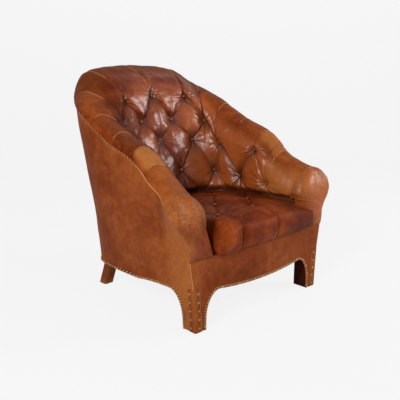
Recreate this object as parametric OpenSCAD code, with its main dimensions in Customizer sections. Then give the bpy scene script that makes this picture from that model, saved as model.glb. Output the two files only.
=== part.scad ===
// Leather tub chair: a sprung, tufted seat inside one wrap-round arm and back.
// The chair faces -Y and stands on z = 0, with the origin under its middle.

/* [Inside] */
// Width between the tuft lines of the two arms
inside_w = 500; // [440:5:580]
// Depth from the front of the legs to the tuft line of the back, at the seat
inside_d = 497; // [440:5:560]
// Lean of the inside back from upright, in degrees
inside_rake = 17.2; // [12:0.2:20]
// Height of the seam under the seat
deck_h = 262; // [235:1:290]
// Height of the seat beside the arms at the front
seat_front_h = 364; // [345:1:390]
// Height of the seat at the back corners
seat_back_h = 345; // [330:1:360]
// Rise of the seat's crown over its edges
seat_crown = 16; // [4:1:30]

/* [Outside] */
// Width over the two front feet at the floor
foot_span = 662; // [600:2:720]
// Width over the outside panels at the seat seam
deck_span = 712; // [660:2:760]
// Width over the outside panels at the middle of the arms
arm_span = 764; // [720:2:820]
// Width over the outside panels at the top of the back
top_span = 728; // [680:2:780]
// Depth from the front of the legs to the outside back at the floor
outside_d = 586; // [550:2:640]
// Lean of the outside back from upright, in degrees
outside_rake = 16; // [12:0.2:19]
// Depth of the rounded back corners
corner_d = 290; // [250:2:320]

/* [Roll] */
// Height of the middle of the roll at the back
roll_back_h = 822; // [760:2:880]
// Height of the middle of the roll at the arm fronts
roll_front_h = 422; // [395:1:440]
// Radius of the roll
roll_r = 56; // [48:1:62]
// Distance from the outside panel to the middle of the roll
roll_in = 50; // [42:1:56]
// How far the arm fronts flare past the outside panels
lobe = 28; // [10:1:40]

/* [Tufting] */
// Depth of the tufts on the inside arms and back
puff = 26; // [14:1:32]
// Depth of the tufts on the seat
seat_puff = 22; // [12:1:28]
// Heights of the four button rows at the middle of the back, lowest first, as shares of the way from the
// seat's back corners up to the middle of the roll
tuft_row_shares = [0.22, 0.482, 0.66, 0.864];
// Drop of each button row from one button column to the next
tuft_drop = 6; // [0:0.5:10]
// Diameter of the covered buttons
button_d = 14; // [10:0.5:18]

/* [Legs and edges] */
// Width of a front leg
leg_w = 50; // [44:1:60]
// Depth of a front leg
leg_d = 63; // [54:1:72]
// Height of the apron's lower edge at its middle
apron_mid_h = 123; // [110:1:140]
// Height of the apron's and sides' lower edges beside the front legs
apron_end_h = 137; // [125:1:150]
// Side of the square back legs
back_leg_w = 42; // [36:1:50]
// How far the back feet stand behind the tops of the back legs
back_leg_kick = 48; // [20:1:60]
// Thickness of the leather
hide_t = 3; // [2:0.2:4]
// Width of the nailed edging
edging_w = 10; // [8:0.5:14]
// Spacing of the edging nails
nail_pitch = 42; // [36:1:60]
// Diameter of the nail heads
nail_d = 7; // [5:0.5:9]
// Height of the leather strip on the front leg corners
strip_h = 158; // [140:1:175]
// Width of that strip on each face
strip_w = 28; // [22:1:32]

/* [Frame and suspension] */
// Thickness of the seat rails
rail_t = 26; // [20:1:32]
// Drop from the seam under the seat to the tops of the seat rails
rail_drop = 28; // [20:1:45]
// Thickness of the stuffing over the inside of the frame
pad_t = 42; // [34:1:50]
// Side of the corner posts inside the back
post_w = 36; // [30:1:42]
// Width of the webbing
web_w = 50; // [40:1:60]
// Thickness of the webbing
web_t = 2; // [1:0.5:3]
// Wire diameter of the seat springs
spring_wire = 4; // [3:0.5:5]
// Outer diameter of the ends of the seat springs
spring_d = 92; // [80:1:110]

/* [Hidden] */

gap = 0.4;                 // clearance between pieces that lie on each other
over = 1;                  // overrun of a cut past a face
rear_lap = 2.4;            // how far the welt stands behind the outside back
slack = 2;                 // clearance of hidden pieces behind the curved panels
glide_h = 3;               // height of a glide, which the covered feet stand above
glide_d = 24;
leg_h = 150;               // height up to which the front legs stand nearly plumb
leg_flare = 9;             // outward lean of a front leg up to that height
lean_h = 620;              // height at which the outside panels are widest
lobe_h = 296;              // height at which the arm fronts start to flare
lobe_d = 150;              // depth over which that flare dies out
front_bow = 8;             // forward bow of the apron
inside_splay = 24;         // how much wider the inside is at the front plane
flare_share = 1.4;         // how early the flare is full along its depth
pad_bottom = deck_h + gap;
tuft_row_h = [for (s = tuft_row_shares) mix(seat_back_h, roll_back_h, s)];
seam_rise = 17;            // from the middle of the roll up to the outer seam
seam_low = 22;             // height of the outer seam over the seat seam, at the front plane
seam_fall_d = 100;         // depth over which the outer seam drops to that
turn_a = 110;              // angle at which the roll runs into the inside face
roll_drop = 60;            // from the middle of the roll to the top of the flat inside face, on the arms
roll_drop_back = 75;       // the same at the middle of the back
ridge_puff = 6;            // depth of the pleats where they cross the roll
hook_drop = 44;            // from the middle of the roll down to the arm rail
pad_lift = 30;             // height over which the tufts fade in above the seat
q_front = 1.854;           // station of the arm pads' front ends
corner_q = 0.47;           // station of the back posts
split_q = 0.45;            // station of the seams between the outside panels
split_share = 0.0009;      // opening left between pads and panels that meet
pit = 10;                  // depth of the hollow under a button
button_t = 5;
shank_r = 1.2;
side_low_h = 124;          // height of the lower edge along the sides and back
side_rise_d = 126;         // depth at which the arch of the side's lower edge ends
arch_low_h = 42;           // height at which that arch leaves the front leg
side_arch_d = 62;          // depth of the arch beside the front leg
apron_leg_x = 281;         // inner face of the front legs, from the middle
apron_arch_w = 62;         // width of the arch between front leg and apron
rail_low = 150;            // height of the undersides of the seat rails
rail_top = deck_h - rail_drop;
rail_h = rail_top - rail_low;
arm_rail_h = 30;           // height of the rails inside the arms and the top of the back
knee_h = 118;              // height at which the back legs start to kick back
stump_x = 306;             // inner face of the front posts above the seat seam, from the middle
stump_w = 40;
stump_d = 50;
post_inset = 6;            // from the corner of the outside to a back post
post_drop = 12;            // from the arm rails down to the tops of the back posts
block_w = 50;              // side of the corner blocks
shelf_drop = 70;           // from the middle of the roll at the front down to the hollow in the arm fronts
shelf_h = roll_front_h - shelf_drop;
lobe_axis_x = 344;         // upright line that the arm fronts are turned about
lobe_in = 82;              // reach of an arm front from that line towards the seat
lobe_out = 56;             // reach outward
lobe_front = 63;           // reach forward
lobe_tuck = 8;             // how far the arm fronts draw in at their lower seam
lobe_lip = 20;             // least height of an arm front's wall over its seam
seam_lap = 4;              // overlap of the arm fronts' leather at the end of the outer seam
side_rise_l = 200;         // length of the rear slope of the side's lower edge
apron_flat_share = 0.78;
seat_tuft_w = 95;          // half the spacing of the seat buttons in a row
seat_tuft_d = 110;         // spacing of the seat's button rows
seat_tuft_x = -30;         // place of the middle button of the second row, which is off the centre line
seat_tuft_y = 215;
seat_nose = 24;            // how far the seat bulges forward over the apron
seat_edge_r = 26;          // rounding of the seat's edges
seat_soft = 14;            // drop of the seat along its sides and back
nose_gap = 2;              // clearance between the apron and the root of the seat's bulge
nose_drop = 10;            // from the seat's front edge down to the top of that bulge
seat_flat_shares = [0.12, 0.46, 1];
edging_t = 2;
nail_h = 2.4;
nail_rows = 5;             // nails in each row of the leg strips
strip_nail_low = 18;       // height of the lowest of them
strip_nail_top = 14;       // from the highest of them up to the top of the strip
nail_side_share = 0.66;
nail_front_share = 0.62;
welt_r = 1.5;
web_pitch_x = 110;         // spacing of the strips of webbing from side to side
web_pitch_y = 105;         // and from front to back
web_inset = 24;            // length by which the long strips fall short of the outside back
web_reach = 30;            // how far the cross strips pass the front legs' inner faces
spring_pitch_x = 135;      // spacing of the springs from side to side
spring_pitch_y = 121;      // and from front to back
spring_first = 130;        // depth of the first row of springs
hessian_drop = 3;          // from the seat seam down to the hessian
front_inset = 3;           // clearance of hessian and dust cover behind the apron
dust_inset = 9;            // clearance of the dust cover inside the panels

wood = "burlywood";
hide = "sienna";
dark_hide = "saddlebrown";
brass = "goldenrod";

// Stations run from 0 at the middle of the back to 1 at the end of a rounded corner and 2 at the
// front plane. Negative stations are on the chair's -X side.
ridge_shares = [
    [0, 1], [0.2, 0.983], [0.38, 0.946], [0.48, 0.885], [0.58, 0.804], [0.75, 0.72], [0.92, 0.627],
    [1.14, 0.444], [1.335, 0.353], [1.45, 0.26], [1.536, 0.172], [1.7, 0.081], [1.84, 0.027], [2, 0]
];
column_shares = [
    [0, 0], [1, 0.143], [2, 0.355], [3, 0.65], [4, 0.98], [5, 1.15], [6, 1.345], [7, 1.49],
    [8, 1.66], [9, q_front], [10, 2]
];
column_of_shares = [for (c = column_shares) [c[1], c[0]]];
// Row of the topmost button, or fold, over each button column, counted down from the top row
top_row_shares = [
    [0, 0], [1, 1], [2, 0], [3, 1], [4, 2], [5, 3], [6, 2], [7, 3], [8, 4], [9, 3], [10, 4]
];
pleat_columns = [0, 2, 3, 4, 6, 7, 9, 11];
seam_fall_shares = [[0, 1], [0.05, 0.66], [0.24, 0.36], [0.6, 0.13], [1, 0]];

function mix(a, b, t) = a + (b - a) * t;
function clamp01(t) = min(max(t, 0), 1);
function smooth(t) = let (c = clamp01(t)) c * c * (3 - 2 * c);
function unit(v) = v / norm(v);
function curve(a, b, c, d, t) =
    a * pow(1 - t, 3) + 3 * b * t * pow(1 - t, 2) + 3 * c * t * t * (1 - t) + d * pow(t, 3);

// Plan of the tub at a height: the tuft line inside and the leather outside
function inside_y(z) = inside_d + (z - seat_back_h) * tan(inside_rake);
function outside_y(z) = outside_d + z * tan(outside_rake);
function side_start(z) = outside_y(z) - corner_d;
side_ref = side_start(deck_h);
function q_of_y(y) = 2 - y / side_ref;
function side_y(q, z) = let (w = 2 - q) side_ref * w + (side_start(z) - side_ref) * pow(w, 3);
function outside_x(z) = lookup(z, [
    [0, foot_span / 2], [leg_h, foot_span / 2 + leg_flare], [deck_h, deck_span / 2],
    [lean_h, arm_span / 2], [roll_back_h, top_span / 2], [roll_back_h + roll_r, top_span / 2]
]);
function flare(y, z) =
    lobe * smooth((z - lobe_h) / (roll_front_h - lobe_h)) * smooth((lobe_d - y) / lobe_d * flare_share);
inside_front_w = inside_w + inside_splay;
function inside_at(q, z) = q <= 1
    ? [curve(0, 0.85 * inside_w / 2, inside_w / 2, inside_w / 2, q),
       curve(inside_y(z), inside_y(z), mix(side_start(z), inside_y(z), 0.55), side_start(z), q)]
    : [mix(inside_w, inside_front_w, q - 1) / 2, side_y(q, z)];
// Fullness of the outside back corners over the height, which are squarer near the legs
corner_shares = [[0.16, 1], [0.39, 0.8], [0.55, 0.73], [0.73, 0.68], [0.85, 0.7], [0.92, 0.73]];
function corner_share(z) = lookup(z / roll_back_h, corner_shares);
function outside_at(q, z) = q <= 1
    ? [curve(0, corner_share(z) * outside_x(z), outside_x(z), outside_x(z), q),
       curve(outside_y(z), outside_y(z), mix(side_start(z), outside_y(z), corner_share(z)),
           side_start(z), q)]
    : [outside_x(z) + flare(side_y(q, z), z), side_y(q, z)];
function wall_t(q, z) = norm(outside_at(abs(q), z) - inside_at(abs(q), z));
// Point of the tub: t is measured outward from the tuft line
function tub(q, t, z) =
    let (a = inside_at(abs(q), z), b = outside_at(abs(q), z), p = a + unit(b - a) * t)
    [q < 0 ? -p[0] : p[0], p[1], z];
function tub_out(q, z) =
    let (n = unit(outside_at(abs(q), z) - inside_at(abs(q), z))) [q < 0 ? -n[0] : n[0], n[1], 0];

function outside_normal(q, z) =
    let (d = unit(outside_at(q + 0.01, z) - outside_at(q - 0.01, z))) [-d[1], d[0], 0];

function roll_z(q) = mix(roll_front_h, roll_back_h, lookup(abs(q), ridge_shares));
mid_y = (outside_y(seam_z(0)) + rear_lap - front_bow - seat_nose - nose_gap) / 2;
seam_fall = roll_front_h + seam_rise - deck_h - seam_low;
function seam_z(q) = abs(q) <= 1 ? roll_z(q) + seam_rise
    : roll_z(q) + seam_rise - seam_fall * lookup(side_y(abs(q), roll_front_h) / seam_fall_d,
        seam_fall_shares);
function seam_at_y(y) = seam_z(q_of_y(y));
function seam_a(q) = asin(max((seam_z(q) - roll_z(q)) / roll_r, -0.5));

// Tufting: column and row of a place, and the height of the leather there from 0 to 1
function column_of(q) = lookup(abs(q), column_of_shares);
function station_of(k) = (k < 0 ? -1 : 1) * lookup(abs(k), column_shares);
row_pitch = (tuft_row_h[3] - tuft_row_h[0]) / 3;
function row_z(r, k) = lookup(r, [
    [-10, tuft_row_h[3] + 10 * row_pitch], [0, tuft_row_h[3]], [1, tuft_row_h[2]],
    [2, tuft_row_h[1]], [3, tuft_row_h[0]], [4, tuft_row_h[0] - row_pitch]]) - tuft_drop * abs(k);
function row_of(zv, k) = lookup(zv + tuft_drop * abs(k), [
    [tuft_row_h[0] - row_pitch, 4], [tuft_row_h[0], 3], [tuft_row_h[1], 2],
    [tuft_row_h[2], 1], [tuft_row_h[3], 0], [tuft_row_h[3] + 10 * row_pitch, -10]]);
function diamond(p, r) =
    let (a = abs(sin(90 * (p + r))), b = abs(sin(90 * (p - r))))
    0.55 * sqrt(a * b) + 0.45 * pow(1 - (1 - a * a) * (1 - b * b), 0.6);
function pleat_at(p) = max([for (c = pleat_columns) if (c <= p) c]);
function pleat_after(p) = min([for (c = pleat_columns) if (c > p) c]);
function channel(p) = let (a = pleat_at(p), b = pleat_after(p)) pow(sin(180 * (p - a) / (b - a)), 0.6);
function leather(p, r) =
    let (top = lookup(p, top_row_shares))
    r >= top ? diamond(p, r)
    : let (up = clamp01((top - r) / 0.6), c = channel(p))
      mix(diamond(p, top), 0.55 * c + 0.45 * (1 - (1 - c * c) * (1 - up)), smooth(up * 1.6));

// Profile of the pads at a station, from the seam at the bottom of the inside face up and over the roll:
// each point is [t, z, normal t, normal z, depth of the tufts]
function roll_t(q) = wall_t(q, roll_z(q)) - roll_in;
function face_top(q) =
    roll_z(q) - mix(roll_drop, roll_drop_back, lookup(abs(q), ridge_shares));
function neck(q) = let (
        e0 = [roll_t(q) + roll_r * cos(turn_a), roll_z(q) + roll_r * sin(turn_a)],
        e1 = [-puff, face_top(q)], d = 0.42 * norm(e1 - e0))
    [e1, e1 + [0, d], e0 + d * [-sin(turn_a), cos(turn_a)], e0];
function neck_len(q) = let (n = neck(q)) 1.06 * norm(n[3] - n[0]);
function arc_len(q) = roll_r * (turn_a - seam_a(q)) * PI / 180;
function profile_end(q) = face_top(q) + neck_len(q) + arc_len(q);
function profile_at(q, zv) = zv <= face_top(q)
    ? [-puff, zv, -1, 0, puff]
    : zv <= face_top(q) + neck_len(q)
    ? let (n = neck(q), t = (zv - face_top(q)) / neck_len(q),
           p = curve(n[0], n[1], n[2], n[3], t),
           d = unit(curve(n[0], n[1], n[2], n[3], min(t + 0.01, 1)) - curve(n[0], n[1], n[2], n[3],
               max(t - 0.01, 0))))
      [p[0], p[1], -d[1], d[0], mix(puff, ridge_puff, smooth(t))]
    : let (a = turn_a - (zv - face_top(q) - neck_len(q)) / roll_r * 180 / PI)
      [roll_t(q) + roll_r * cos(a), roll_z(q) + roll_r * sin(a), cos(a), sin(a), ridge_puff];
function seat_edge_z(q) = mix(seat_back_h, seat_front_h, clamp01(abs(q) - 0.6));
function pad_point(q, zv) = let (
        f = profile_at(q, zv), k = column_of(q),
        h = leather(k, row_of(zv, k)) * (zv > face_top(q) ? 1 : smooth((zv - seat_edge_z(q)) / pad_lift)),
        sink = f[4] * (1 - h) + (zv > seat_edge_z(q) + pad_lift && zv < face_top(q) && h < 0.01 ? pit : 0))
    [f[0] - f[2] * sink, f[1] - f[3] * sink];

// Heights along the profile at a station, with one on each button
function is_whole(k) = abs(k - round(k)) < 0.01;
function pad_heights(q, n) = let (
        k = column_of(q), step = (profile_end(q) - pad_bottom) / n,
        knots = is_whole(k) ? [for (r = [0:4]) if (round(k + r) % 2 == 0) row_z(r, round(k))] : [])
    [for (i = [0:n]) let (zv = pad_bottom + step * i,
        near = [for (b = knots) if (abs(b - zv) <= step / 2) b])
        i == 0 || i == n || len(near) == 0 ? zv : near[0]];
function pad_ring(q, n) = let (
        face = [for (zv = pad_heights(q, n)) pad_point(q, zv)],
        hook = roll_z(q) - hook_drop,
        back = [for (z = [seam_z(q) + gap, mix(seam_z(q), hook, 0.5), hook]) [wall_t(q,
            z) - hide_t - slack - gap, z]],
        base = [[pad_t, hook], [pad_t, pad_bottom]])
    [for (p = concat(face, back, base)) tub(q, p[0], p[1])];

// Closed surface through rings of equal count, each in the same sense
module skin(rings, flip = false) {
    n = len(rings);
    m = len(rings[0]);
    points = [for (r = rings) each r];
    sides = [for (i = [0:n - 2]) for (j = [0:m - 1]) let (
        a = i * m + j, b = i * m + (j + 1) % m, c = a + m, d = b + m) each [[a, b, c], [b, d, c]]];
    ends = [[for (j = [m - 1:-1:0]) j], [for (j = [0:m - 1]) (n - 1) * m + j]];
    faces = concat(sides, ends);
    polyhedron(points, flip ? [for (f = faces) [for (j = [len(f) - 1:-1:0]) f[j]]] : faces, convexity = 8);
}
// Sheet or board through a grid: outer and inner rows of equal count
module sheet(outer, inner, flip = false) {
    n = len(outer);
    m = len(outer[0]);
    k = n * m;
    points = concat([for (r = outer) each r], [for (r = inner) each r]);
    function quad(a, b, c, d) = [[a, b, c], [a, c, d]];
    faces = concat(
        [for (i = [0:n - 2]) for (j = [0:m - 2]) let (a = i * m + j) each quad(a, a + 1, a + m + 1, a + m)],
        [for (i = [0:n - 2]) for (j = [0:m - 2]) let (a = k + i * m + j) each quad(a, a + m, a + m + 1,
            a + 1)],
        [for (i = [0:n - 2]) let (a = i * m) each quad(a, a + m, a + m + k, a + k)],
        [for (i = [0:n - 2]) let (a = i * m + m - 1) each quad(a, a + k, a + m + k, a + m)],
        [for (j = [0:m - 2]) each quad(j, j + k, j + 1 + k, j + 1)],
        [for (j = [0:m - 2]) let (a = (n - 1) * m + j) each quad(a, a + 1, a + 1 + k, a + k)]);
    polyhedron(points, flip ? [for (f = faces) [for (j = [2:-1:0]) f[j]]] : faces, convexity = 8);
}
function steps(a, b, n) = [for (i = [0:n]) mix(a, b, i / n)];

// Seat
function seat_front_y(x) = -front_bow * (1 - min(pow(x / apron_leg_x, 2), 1));
function seat_half_w() = inside_front_w / 2 - gap;
// Line where the seat meets the back, at a height, for a place across the seat from -1 to 1
function seat_back_y(u, z) =
    lookup(min(abs(u), 1), [for (q = steps(0, 1, 20)) let (p = inside_at(q, z)) [p[0] * 2 / inside_w,
        p[1]]]) - slack;
function seat_plan(u, v, z) = let (
        w = mix(seat_half_w(), inside_w / 2 - gap, min(v * inside_d / side_start(z), 1)),
            far = inside_y(z) - slack)
    [u * w, far * v + (seat_back_y(u, z) - far) * pow(v, 3)];
function seat_top(u, v) = let (
        q = seat_plan(u, v, seat_back_h - seat_soft),
            edge = max(seat_back_y(u, seat_back_h - seat_soft) - q[1], 0),
        p = (u * seat_half_w() - seat_tuft_x) / seat_tuft_w, r = (v * inside_d - seat_tuft_y) / seat_tuft_d,
        side = seat_half_w() * (1 - abs(u)), e = min(side, edge),
        base = lookup(v, [
            [seat_flat_shares[0], seat_front_h], [seat_flat_shares[1], seat_front_h],
                [seat_flat_shares[2], seat_back_h]]),
        crown = seat_crown * (1 - u * u) * smooth(edge / (seat_tuft_d + over)),
        front = smooth((-1 - r) * 2.2),
        fold = pow(abs(sin(90 * (p - 1))), 0.6),
        h = mix(diamond(p, r), 0.4 + 0.6 * fold, front),
        soft = 1 - smooth(e / seat_edge_r))
    [q[0], q[1], base + crown - mix(seat_puff * (1 - h), seat_soft, soft) - (h < 0.01 ? pit : 0)];
function seat_columns() = concat(
    [-1, -0.975], [for (k = [-2:0.5:2.5]) (seat_tuft_x + k * seat_tuft_w) / seat_half_w()], [0.975, 1]);
function seat_mid(c) = [for (i = [0:len(c) - 2])
    each (c[i + 1] - c[i] > 0.1 ? [c[i], (c[i] + c[i + 1]) / 2] : [c[i]])];
seat_front_shares = [0.045, 0.13];
seat_rear_shares = [0.92, 0.965, 1];
nose_shares = [[0, 0.5], [0.3, 0.86], [0.58, 1], [0.86, 0.92], [1.02, 0.66], [1.08, 0.25], [1.1, -0.3]];
module seat_pad_form() {
    cols = concat(seat_mid(seat_columns()), [1]);
    rows = concat(seat_front_shares,
        [for (k = [-1:0.25:2.01]) (seat_tuft_y + k * seat_tuft_d) / inside_d], seat_rear_shares);
    nose = [for (s = nose_shares) [for (u = cols) let (
        x = u * seat_half_w(),
        fold = 0.35 + 0.65 * pow(abs(sin(90 * ((x - seat_tuft_x) / seat_tuft_w - 1))), 0.6),
        full = (1 - pow(abs(u), 8)) * fold)
        [x, seat_front_y(x) - nose_gap - seat_nose * s[1] * full,
            pad_bottom + over + (seat_front_h - deck_h - nose_drop) * s[0] * (0.93 + 0.07 * full)]]];
    top = [for (v = rows) [for (u = cols) seat_top(u, v)]];
    under_nose = [for (i = [0:len(nose_shares) - 1]) [for (u = cols) let (x = u * seat_half_w())
        [x, seat_front_y(x) + over + i * nose_gap, pad_bottom]]];
    under = [for (v = rows) [for (u = cols) let (p = seat_plan(u, v, deck_h)) [p[0], p[1], pad_bottom]]];
    color(hide)
        sheet(concat(nose, top), concat(under_nose, under), true);
}

// Pads of the arms and back
module back_pad_form() {
    s = station_of(3) * (1 - split_share) / 3;
    color(hide)
        skin([for (k = steps(-3, 3, 24)) pad_ring(abs(k) == 3 ? s * k : station_of(k), 34)]);
}
module arm_pad_form() {
    color(hide)
        skin([for (k = steps(3, 9, 24))
            pad_ring(k == 3 ? station_of(3) * (1 + split_share) : station_of(k), 22)]);
}

// Arm front: profiles turned about an upright line, from the seat side over the front to the outside
lobe_top = roll_z(q_front) + roll_r - ridge_puff;
lobe_axis_y = side_y(q_front, roll_front_h) - gap;
function panel_x(y, z) = outside_x(z) + flare(y, z);
seam_ys = [0, 2, 5, 13, 24, 38];
seam_as = [for (y = seam_ys) 90 + atan2(panel_x(y, seam_at_y(y)) - lobe_axis_x, lobe_axis_y - y)];
function seam_y_at(a) = lookup(a, concat([for (i = [0:len(seam_ys) - 1]) [seam_as[i], seam_ys[i]]],
    [[180, lobe_axis_y]]));
function super(a, x, y, n) = pow(pow(abs(cos(a)) / x, n) + pow(abs(sin(a)) / y, n), -1 / n);
function lobe_reach(a) = super(a, a < 90 ? lobe_in : lobe_out, lobe_front, a < 90 ? 4.5 : 8)
    - ridge_puff * (1 - min(1, sqrt(abs(sin(a)) * 2.2)));
function lobe_at(a, r, z) = [lobe_axis_x - r * cos(a), lobe_axis_y - r * sin(a), z];
hole_in = lobe_axis_x - stump_x + gap;
hole_out = stump_x + stump_w - lobe_axis_x + gap;
hole_front = stump_d + gap;
corner_a = 90 + atan2(panel_x(0, deck_h) - hide_t - 3 * slack - lobe_axis_x, lobe_axis_y);
hole_as = [atan2(hole_front, hole_in), 90 + atan2(hole_out, hole_front)];
// Roundness of an arm front's top, and the height of its shoulder from the seat seam to the roll, by angle
lobe_round_shares = [[0, 2.6], [40, 1.75], [90, 1.8], [140, 2], [180, 2]];
shoulder_shares = [[0, 0.22], [60, 0.246], [90, 0.398], [112, 0.645], [150, 1], [180, 1]];
function lobe_ring(a) = let (
        m = lookup(a, lobe_round_shares),
        outer = a > corner_a,
        y = seam_y_at(a), z_s = outer ? seam_at_y(y) : deck_h,
        r = lobe_reach(a),
        z_m = max(z_s + lobe_lip, mix(deck_h, roll_z(q_front), lookup(a, shoulder_shares))),
        r_s = !outer ? r - lobe_tuck
            : a > 175 ? panel_x(y, z_s) - lobe_axis_x + seam_lap
            : min(r - over, (panel_x(y, z_s) - lobe_axis_x) / -cos(a), lobe_axis_y / sin(a)),
        side = a < 90 ? hole_in : hole_out,
        hole = min(side / max(abs(cos(a)), 0.01), hole_front / max(sin(a), 0.01)))
    concat(
        [for (t = [18:18:90]) lobe_at(a, r * pow(sin(t), 2 / m),
            z_m + (lobe_top - z_m) * pow(cos(t), 2 / m))],
        [for (t = [22.5:22.5:90]) lobe_at(a, mix(r, r_s, 1 - cos(t)), mix(z_m, z_s + gap, sin(t)))],
        // behind the panel the hidden side keeps the depth of the seam
        outer
        ? [for (z = [z_s, mix(z_s, deck_h, 0.25), mix(z_s, deck_h, 0.6), pad_bottom])
            [min(panel_x(y, z) - hide_t - 2 * slack,
                lobe_axis_x + (a > 175 ? lobe_out : (lobe_axis_y - y) * tan(a - 90))), y, z]]
        : [for (t = [0.25:0.25:1]) lobe_at(a, mix(r - lobe_tuck, hole, t * 0.8), pad_bottom)],
        [lobe_at(a, hole, pad_bottom), lobe_at(a, hole, shelf_h)]);
module arm_front_form() {
    turns = concat([0, 15, 30, 42, hole_as[0], 64, 77, 90], [hole_as[1], corner_a, corner_a + 0.4],
        seam_as, [171, 180]);
    rings = [for (a = turns) lobe_ring(a)];
    n = len(rings);
    m = len(rings[0]);
    points = concat([[lobe_axis_x, lobe_axis_y, lobe_top], [lobe_axis_x, lobe_axis_y, shelf_h]],
        [for (r = rings) each r]);
    faces = concat(
        [for (i = [0:n - 2]) [0, 2 + i * m + m, 2 + i * m]],
        [for (i = [0:n - 2]) for (j = [0:m - 2]) let (a = 2 + i * m + j) each [[a, a + m, a + 1],
            [a + 1, a + m, a + m + 1]]],
        [for (i = [0:n - 2]) let (a = 2 + i * m + m - 1) [a, a + m, 1]],
        [concat([0], [for (j = [0:m - 1]) 2 + j], [1])],
        [concat([1], [for (j = [m - 1:-1:0]) 2 + (n - 1) * m + j], [0])]);
    color(hide)
        polyhedron(points, faces, convexity = 8);
}

// Outside panels
function arch(a, along, down) = [along * (1 - cos(a)), down * sin(a)];
side_arch_h = apron_end_h - arch_low_h;
side_edge = concat(
    [for (y = seam_ys) [y, glide_h]], [[leg_d - 6 * slack, glide_h], [leg_d - over, glide_h],
        [leg_d, arch_low_h]],
    [for (a = [20, 40, 65, 90]) [leg_d, arch_low_h] + arch(a, side_arch_d, side_arch_h)],
    [for (s = [0.25, 0.55, 1]) let (y = side_rise_d + side_rise_l * s) [y,
        mix(apron_end_h, side_low_h, s * s)]]);
corner_qs = [1, 0.9, 0.8, 0.7, 0.62, 0.55, 0.5, split_q + split_share];
side_stations = concat([for (p = side_edge) [q_of_y(p[0]), p[1]]],
    [for (q = corner_qs) [q, side_low_h]]);
function panel_row(q, z0, z1, inset, n) = [for (z = steps(z0, z1, n)) tub(q, wall_t(q, z) - inset, z)];
module outside_arm_form() {
    color(dark_hide)
        sheet([for (s = side_stations) panel_row(s[0], s[1], seam_z(s[0]) - slack, 0, 12)],
            [for (s = side_stations) panel_row(s[0], s[1], seam_z(s[0]) - slack, hide_t, 12)]);
}
module outside_back_form() {
    q = split_q - split_share;
    color(dark_hide)
        sheet([for (s = steps(-q, q, 12)) panel_row(s, side_low_h, seam_z(s) - slack, 0, 10)],
            [for (s = steps(-q, q, 12)) panel_row(s, side_low_h, seam_z(s) - slack, hide_t, 10)], true);
}
apron_edge = concat(
    [[foot_span / 2, glide_h], [apron_leg_x + leg_w / 2, glide_h]],
    [[apron_leg_x + over, glide_h], [apron_leg_x, arch_low_h]],
    [for (a = [20, 40, 65, 90]) let (d = arch(a, apron_arch_w, side_arch_h)) [apron_leg_x - d[0],
        arch_low_h + d[1]]],
    [for (s = [0.7, 0.45, 0.22, 0]) [apron_leg_x * apron_flat_share * s,
        mix(apron_mid_h, apron_end_h, s * s)]]);
apron_path = concat(apron_edge, [for (i = [len(apron_edge) - 2:-1:0]) [-apron_edge[i][0],
    apron_edge[i][1]]]);
function apron_x(x, z, off) = let (a = x / (foot_span / 2))
    x + (outside_x(z) - foot_span / 2 + off) * pow(abs(a), 7) * sign(x);
function apron_row(p, inset) = [for (z = steps(p[1], deck_h, 6))
    [apron_x(p[0], z, -hide_t - slack), seat_front_y(p[0]) + inset, z]];
module front_apron_form() {
    color(dark_hide)
        sheet([for (p = apron_path) apron_row(p, 0)], [for (p = apron_path) apron_row(p, hide_t)], true);
}

// Legs, posts and rails
function box_ring(x0, x1, y0, y1, z) = [[x0, y0, z], [x0, y1, z], [x1, y1, z], [x1, y0, z]];
module front_post_form() {
    skin_in = hide_t + slack;
    x = apron_leg_x + hide_t;
    color(wood) {
        skin([for (z = [glide_h, leg_h, deck_h]) box_ring(x, outside_x(z) - skin_in, skin_in, leg_d, z)]);
        translate([stump_x, lobe_axis_y - stump_d, deck_h])
            cube([stump_w, stump_d, shelf_h - gap - deck_h]);
    }
}
function post_mid(z) = let (p = outside_at(corner_q, z), d = post_w / 2 + post_inset) [p[0] - d, p[1] - d];
function post_ring(z, w) = let (p = post_mid(max(z, knee_h)),
    k = back_leg_kick * max(knee_h - z, 0) / knee_h)
    box_ring(p[0] - w / 2, p[0] + w / 2, p[1] + k - w / 2, p[1] + k + w / 2, z);
post_top = roll_z(corner_q) - hook_drop - post_drop;
post_hs = concat([glide_h, knee_h, side_low_h, rail_low], steps(rail_top, post_top, 5));
top_cut_hs = concat([for (z = post_hs) if (z > roll_front_h) z], [roll_back_h]);
// Room for a back post in a rail that ends against it
module post_cut(zs) {
    skin([for (z = zs) post_ring(z, post_w + 2 * gap)]);
}
module back_leg_form() {
    color(wood)
        skin([for (z = post_hs) post_ring(z, post_w)]);
}
module back_leg_cover_form() {
    top = knee_h;
    color(dark_hide)
        difference() {
            skin([for (z = [glide_h + gap, top]) post_ring(z, back_leg_w)]);
            skin([for (z = [0, knee_h, knee_h + over]) post_ring(z, post_w + 2 * gap)]);
        }
}
module front_rail_form() {
    y = hide_t + gap;
    color(wood)
        translate([-apron_leg_x, y, rail_low])
            cube([2 * apron_leg_x, rail_t, rail_h]);
}
function rail_ring(q) = let (
        w0 = wall_t(q, rail_low) - hide_t - slack - gap, w1 = wall_t(q, rail_top) - hide_t - slack - gap) [
    tub(q, w0, rail_low), tub(q, w0 - rail_t, rail_low), tub(q, w1 - rail_t, rail_top),
        tub(q, w1, rail_top)];
module side_rail_form() {
    color(wood)
        difference() {
            skin([for (q = steps(0.49, q_of_y(leg_d + gap), 12)) rail_ring(q)]);
            post_cut([rail_low - over, rail_top + over]);
        }
}
module back_rail_form() {
    color(wood)
        difference() {
            skin([for (q = steps(-0.4, 0.4, 10)) rail_ring(q)]);
            post_cut([rail_low - over, rail_top + over]);
            mirror([1, 0, 0])
                post_cut([rail_low - over, rail_top + over]);
        }
}
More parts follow.
